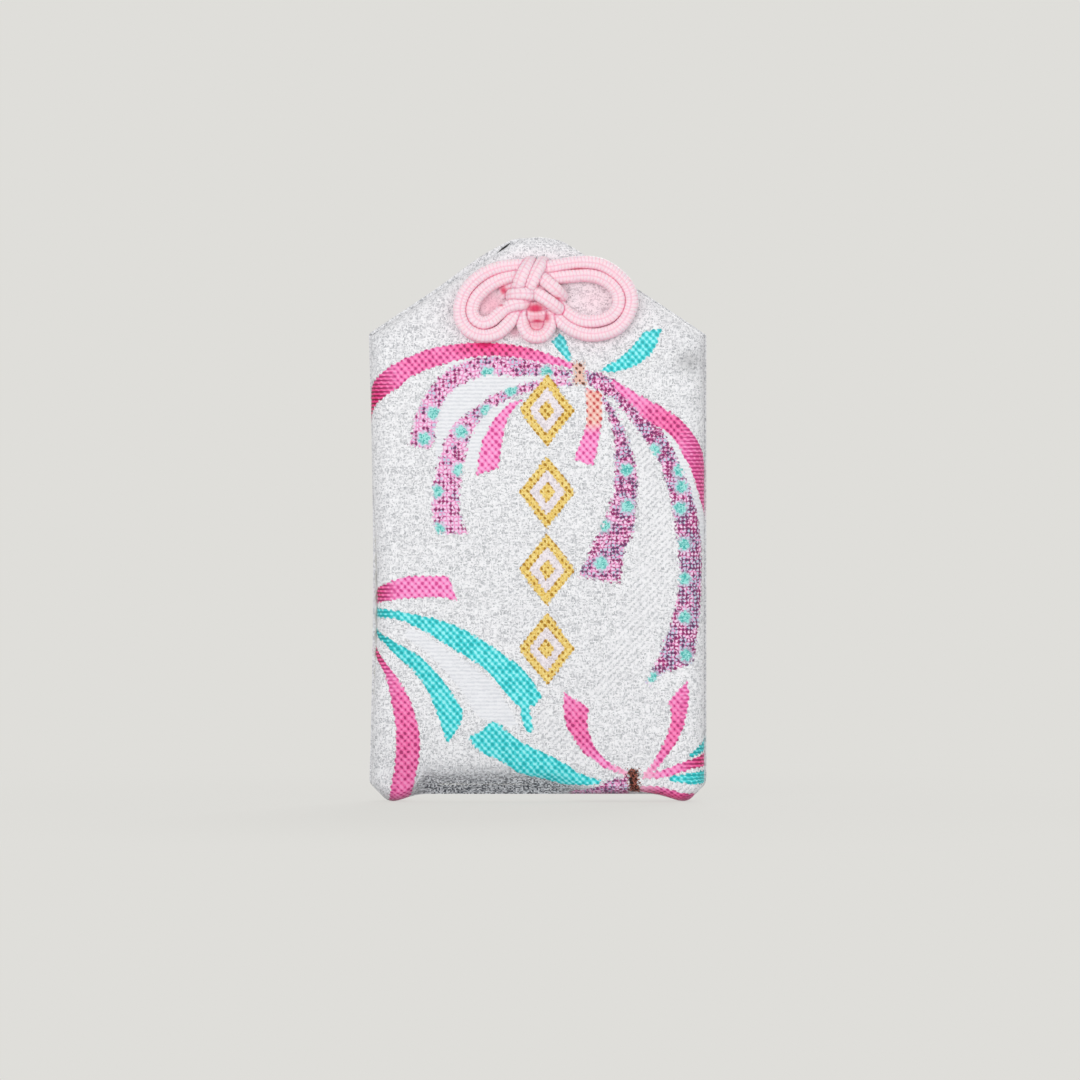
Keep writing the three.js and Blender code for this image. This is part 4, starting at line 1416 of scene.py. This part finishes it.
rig.cord(
    hanging_loop,
    exit=(-eyelet_x * MM, panel_depth(eyelet_z) * MM, eyelet_z * MM),
    length=loop_length,
    diameter=2 * cord_radius * MM,
    far_end="object",
    stiffness="limp",
    lay="hanging",
    path=loop_line.tolist(),
    with_pieces=[*neck_cords, *knot_pieces],
)


# Studio
# A plain pale floor under the charm and soft light from all round, a little stronger from the upper left.
floor_radius = 4.0
softbox_size = 0.4
backdrop_colour = dyed(223, 222, 218)
bpy.ops.object.select_all(action="DESELECT")
bpy.ops.mesh.primitive_circle_add(vertices=96, radius=floor_radius, fill_type="NGON")
floor = bpy.context.object
floor.name = "studio_floor"


def looked_at(start):
    """1 for the rays that show the background, straight, in a reflection or through something clear."""
    rays = start.add("LightPath", output="Is Camera Ray")
    for kind in ("Is Glossy Ray", "Is Transmission Ray"):
        rays = rays.larger(start.add("LightPath", output=kind))
    return rays


floor_finish, start = new_finish("pale_floor")
place = start.add("TexCoord", output="Object")
away = start.add("VectorMath", {0: place}, output="Value", operation="LENGTH")
painted = start.add("Emission", {"Color": backdrop_colour})
matt = start.add("BsdfDiffuse", {"Color": backdrop_colour})
dim = start.add("BsdfDiffuse", {"Color": (0.6, 0.6, 0.6, 1)})
shown = start.add("MixShader", {0: 0.8 + 0.2 * away.between(0.03, 0.12), 1: matt, 2: painted})
start.add("OutputMaterial", {"Surface": start.add("MixShader", {0: looked_at(start), 1: dim, 2: shown})})
dress(floor, floor_finish)
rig.stage(floor)

world = bpy.data.worlds.new("studio")
bpy.context.scene.world = world
world.use_nodes = True
world.node_tree.nodes.clear()
start = Wire(world.node_tree)
sky = start.add("Background", {"Color": (1, 1, 1, 1), "Strength": 0.6})
seen = start.add("Background", {"Color": backdrop_colour, "Strength": 1.0})
start.add("OutputWorld", {"Surface": start.add("MixShader", {0: looked_at(start), 1: sky, 2: seen})})

middle = Vector((0, 0, bag_height * MM / 2))
for name, place, power in (
    ("key_softbox", (-0.3, -0.6, 0.1), 2.15),
    ("fill_softbox", (0.42, -0.5, 0.04), 1.4),
    ("back_softbox", (0.15, 0.6, 0.4), 2.6),
):
    lamp = bpy.data.lights.new(name, "AREA")
    lamp.size = softbox_size
    lamp.energy = power
    softbox = bpy.data.objects.new(name, lamp)
    softbox.location = place
    softbox.rotation_euler = (middle - Vector(place)).to_track_quat("-Z", "Y").to_euler()
    bpy.context.scene.collection.objects.link(softbox)
bpy.context.scene.view_settings.view_transform = "Standard"


# Camera
# Square on to the front, from far enough that the bag keeps its true outline.
photo_pixels = 1080
pixel_size = 0.1343
bag_middle_pixel = 538
bag_foot_pixel = 802
camera_distance = 0.7
view_width = photo_pixels * pixel_size * MM
lens = bpy.data.cameras.new("front_camera")
lens.sensor_width = 36
lens.lens = lens.sensor_width * camera_distance / view_width
camera = bpy.data.objects.new("front_camera", lens)
across = (photo_pixels / 2 - bag_middle_pixel) * pixel_size * MM
upward = (bag_foot_pixel - photo_pixels / 2) * pixel_size * MM
camera.location = (across, -half_depth * MM - camera_distance, upward)
camera.rotation_euler = (math.pi / 2, 0, 0)
bpy.context.scene.collection.objects.link(camera)
bpy.context.scene.camera = camera

low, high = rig.bounds()
sizes = {"cad": [list(cad_low), list(cad_high)], "visual": [list(low), list(high)]}
with open("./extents.json", "w") as size_file:
    json.dump(sizes, size_file)
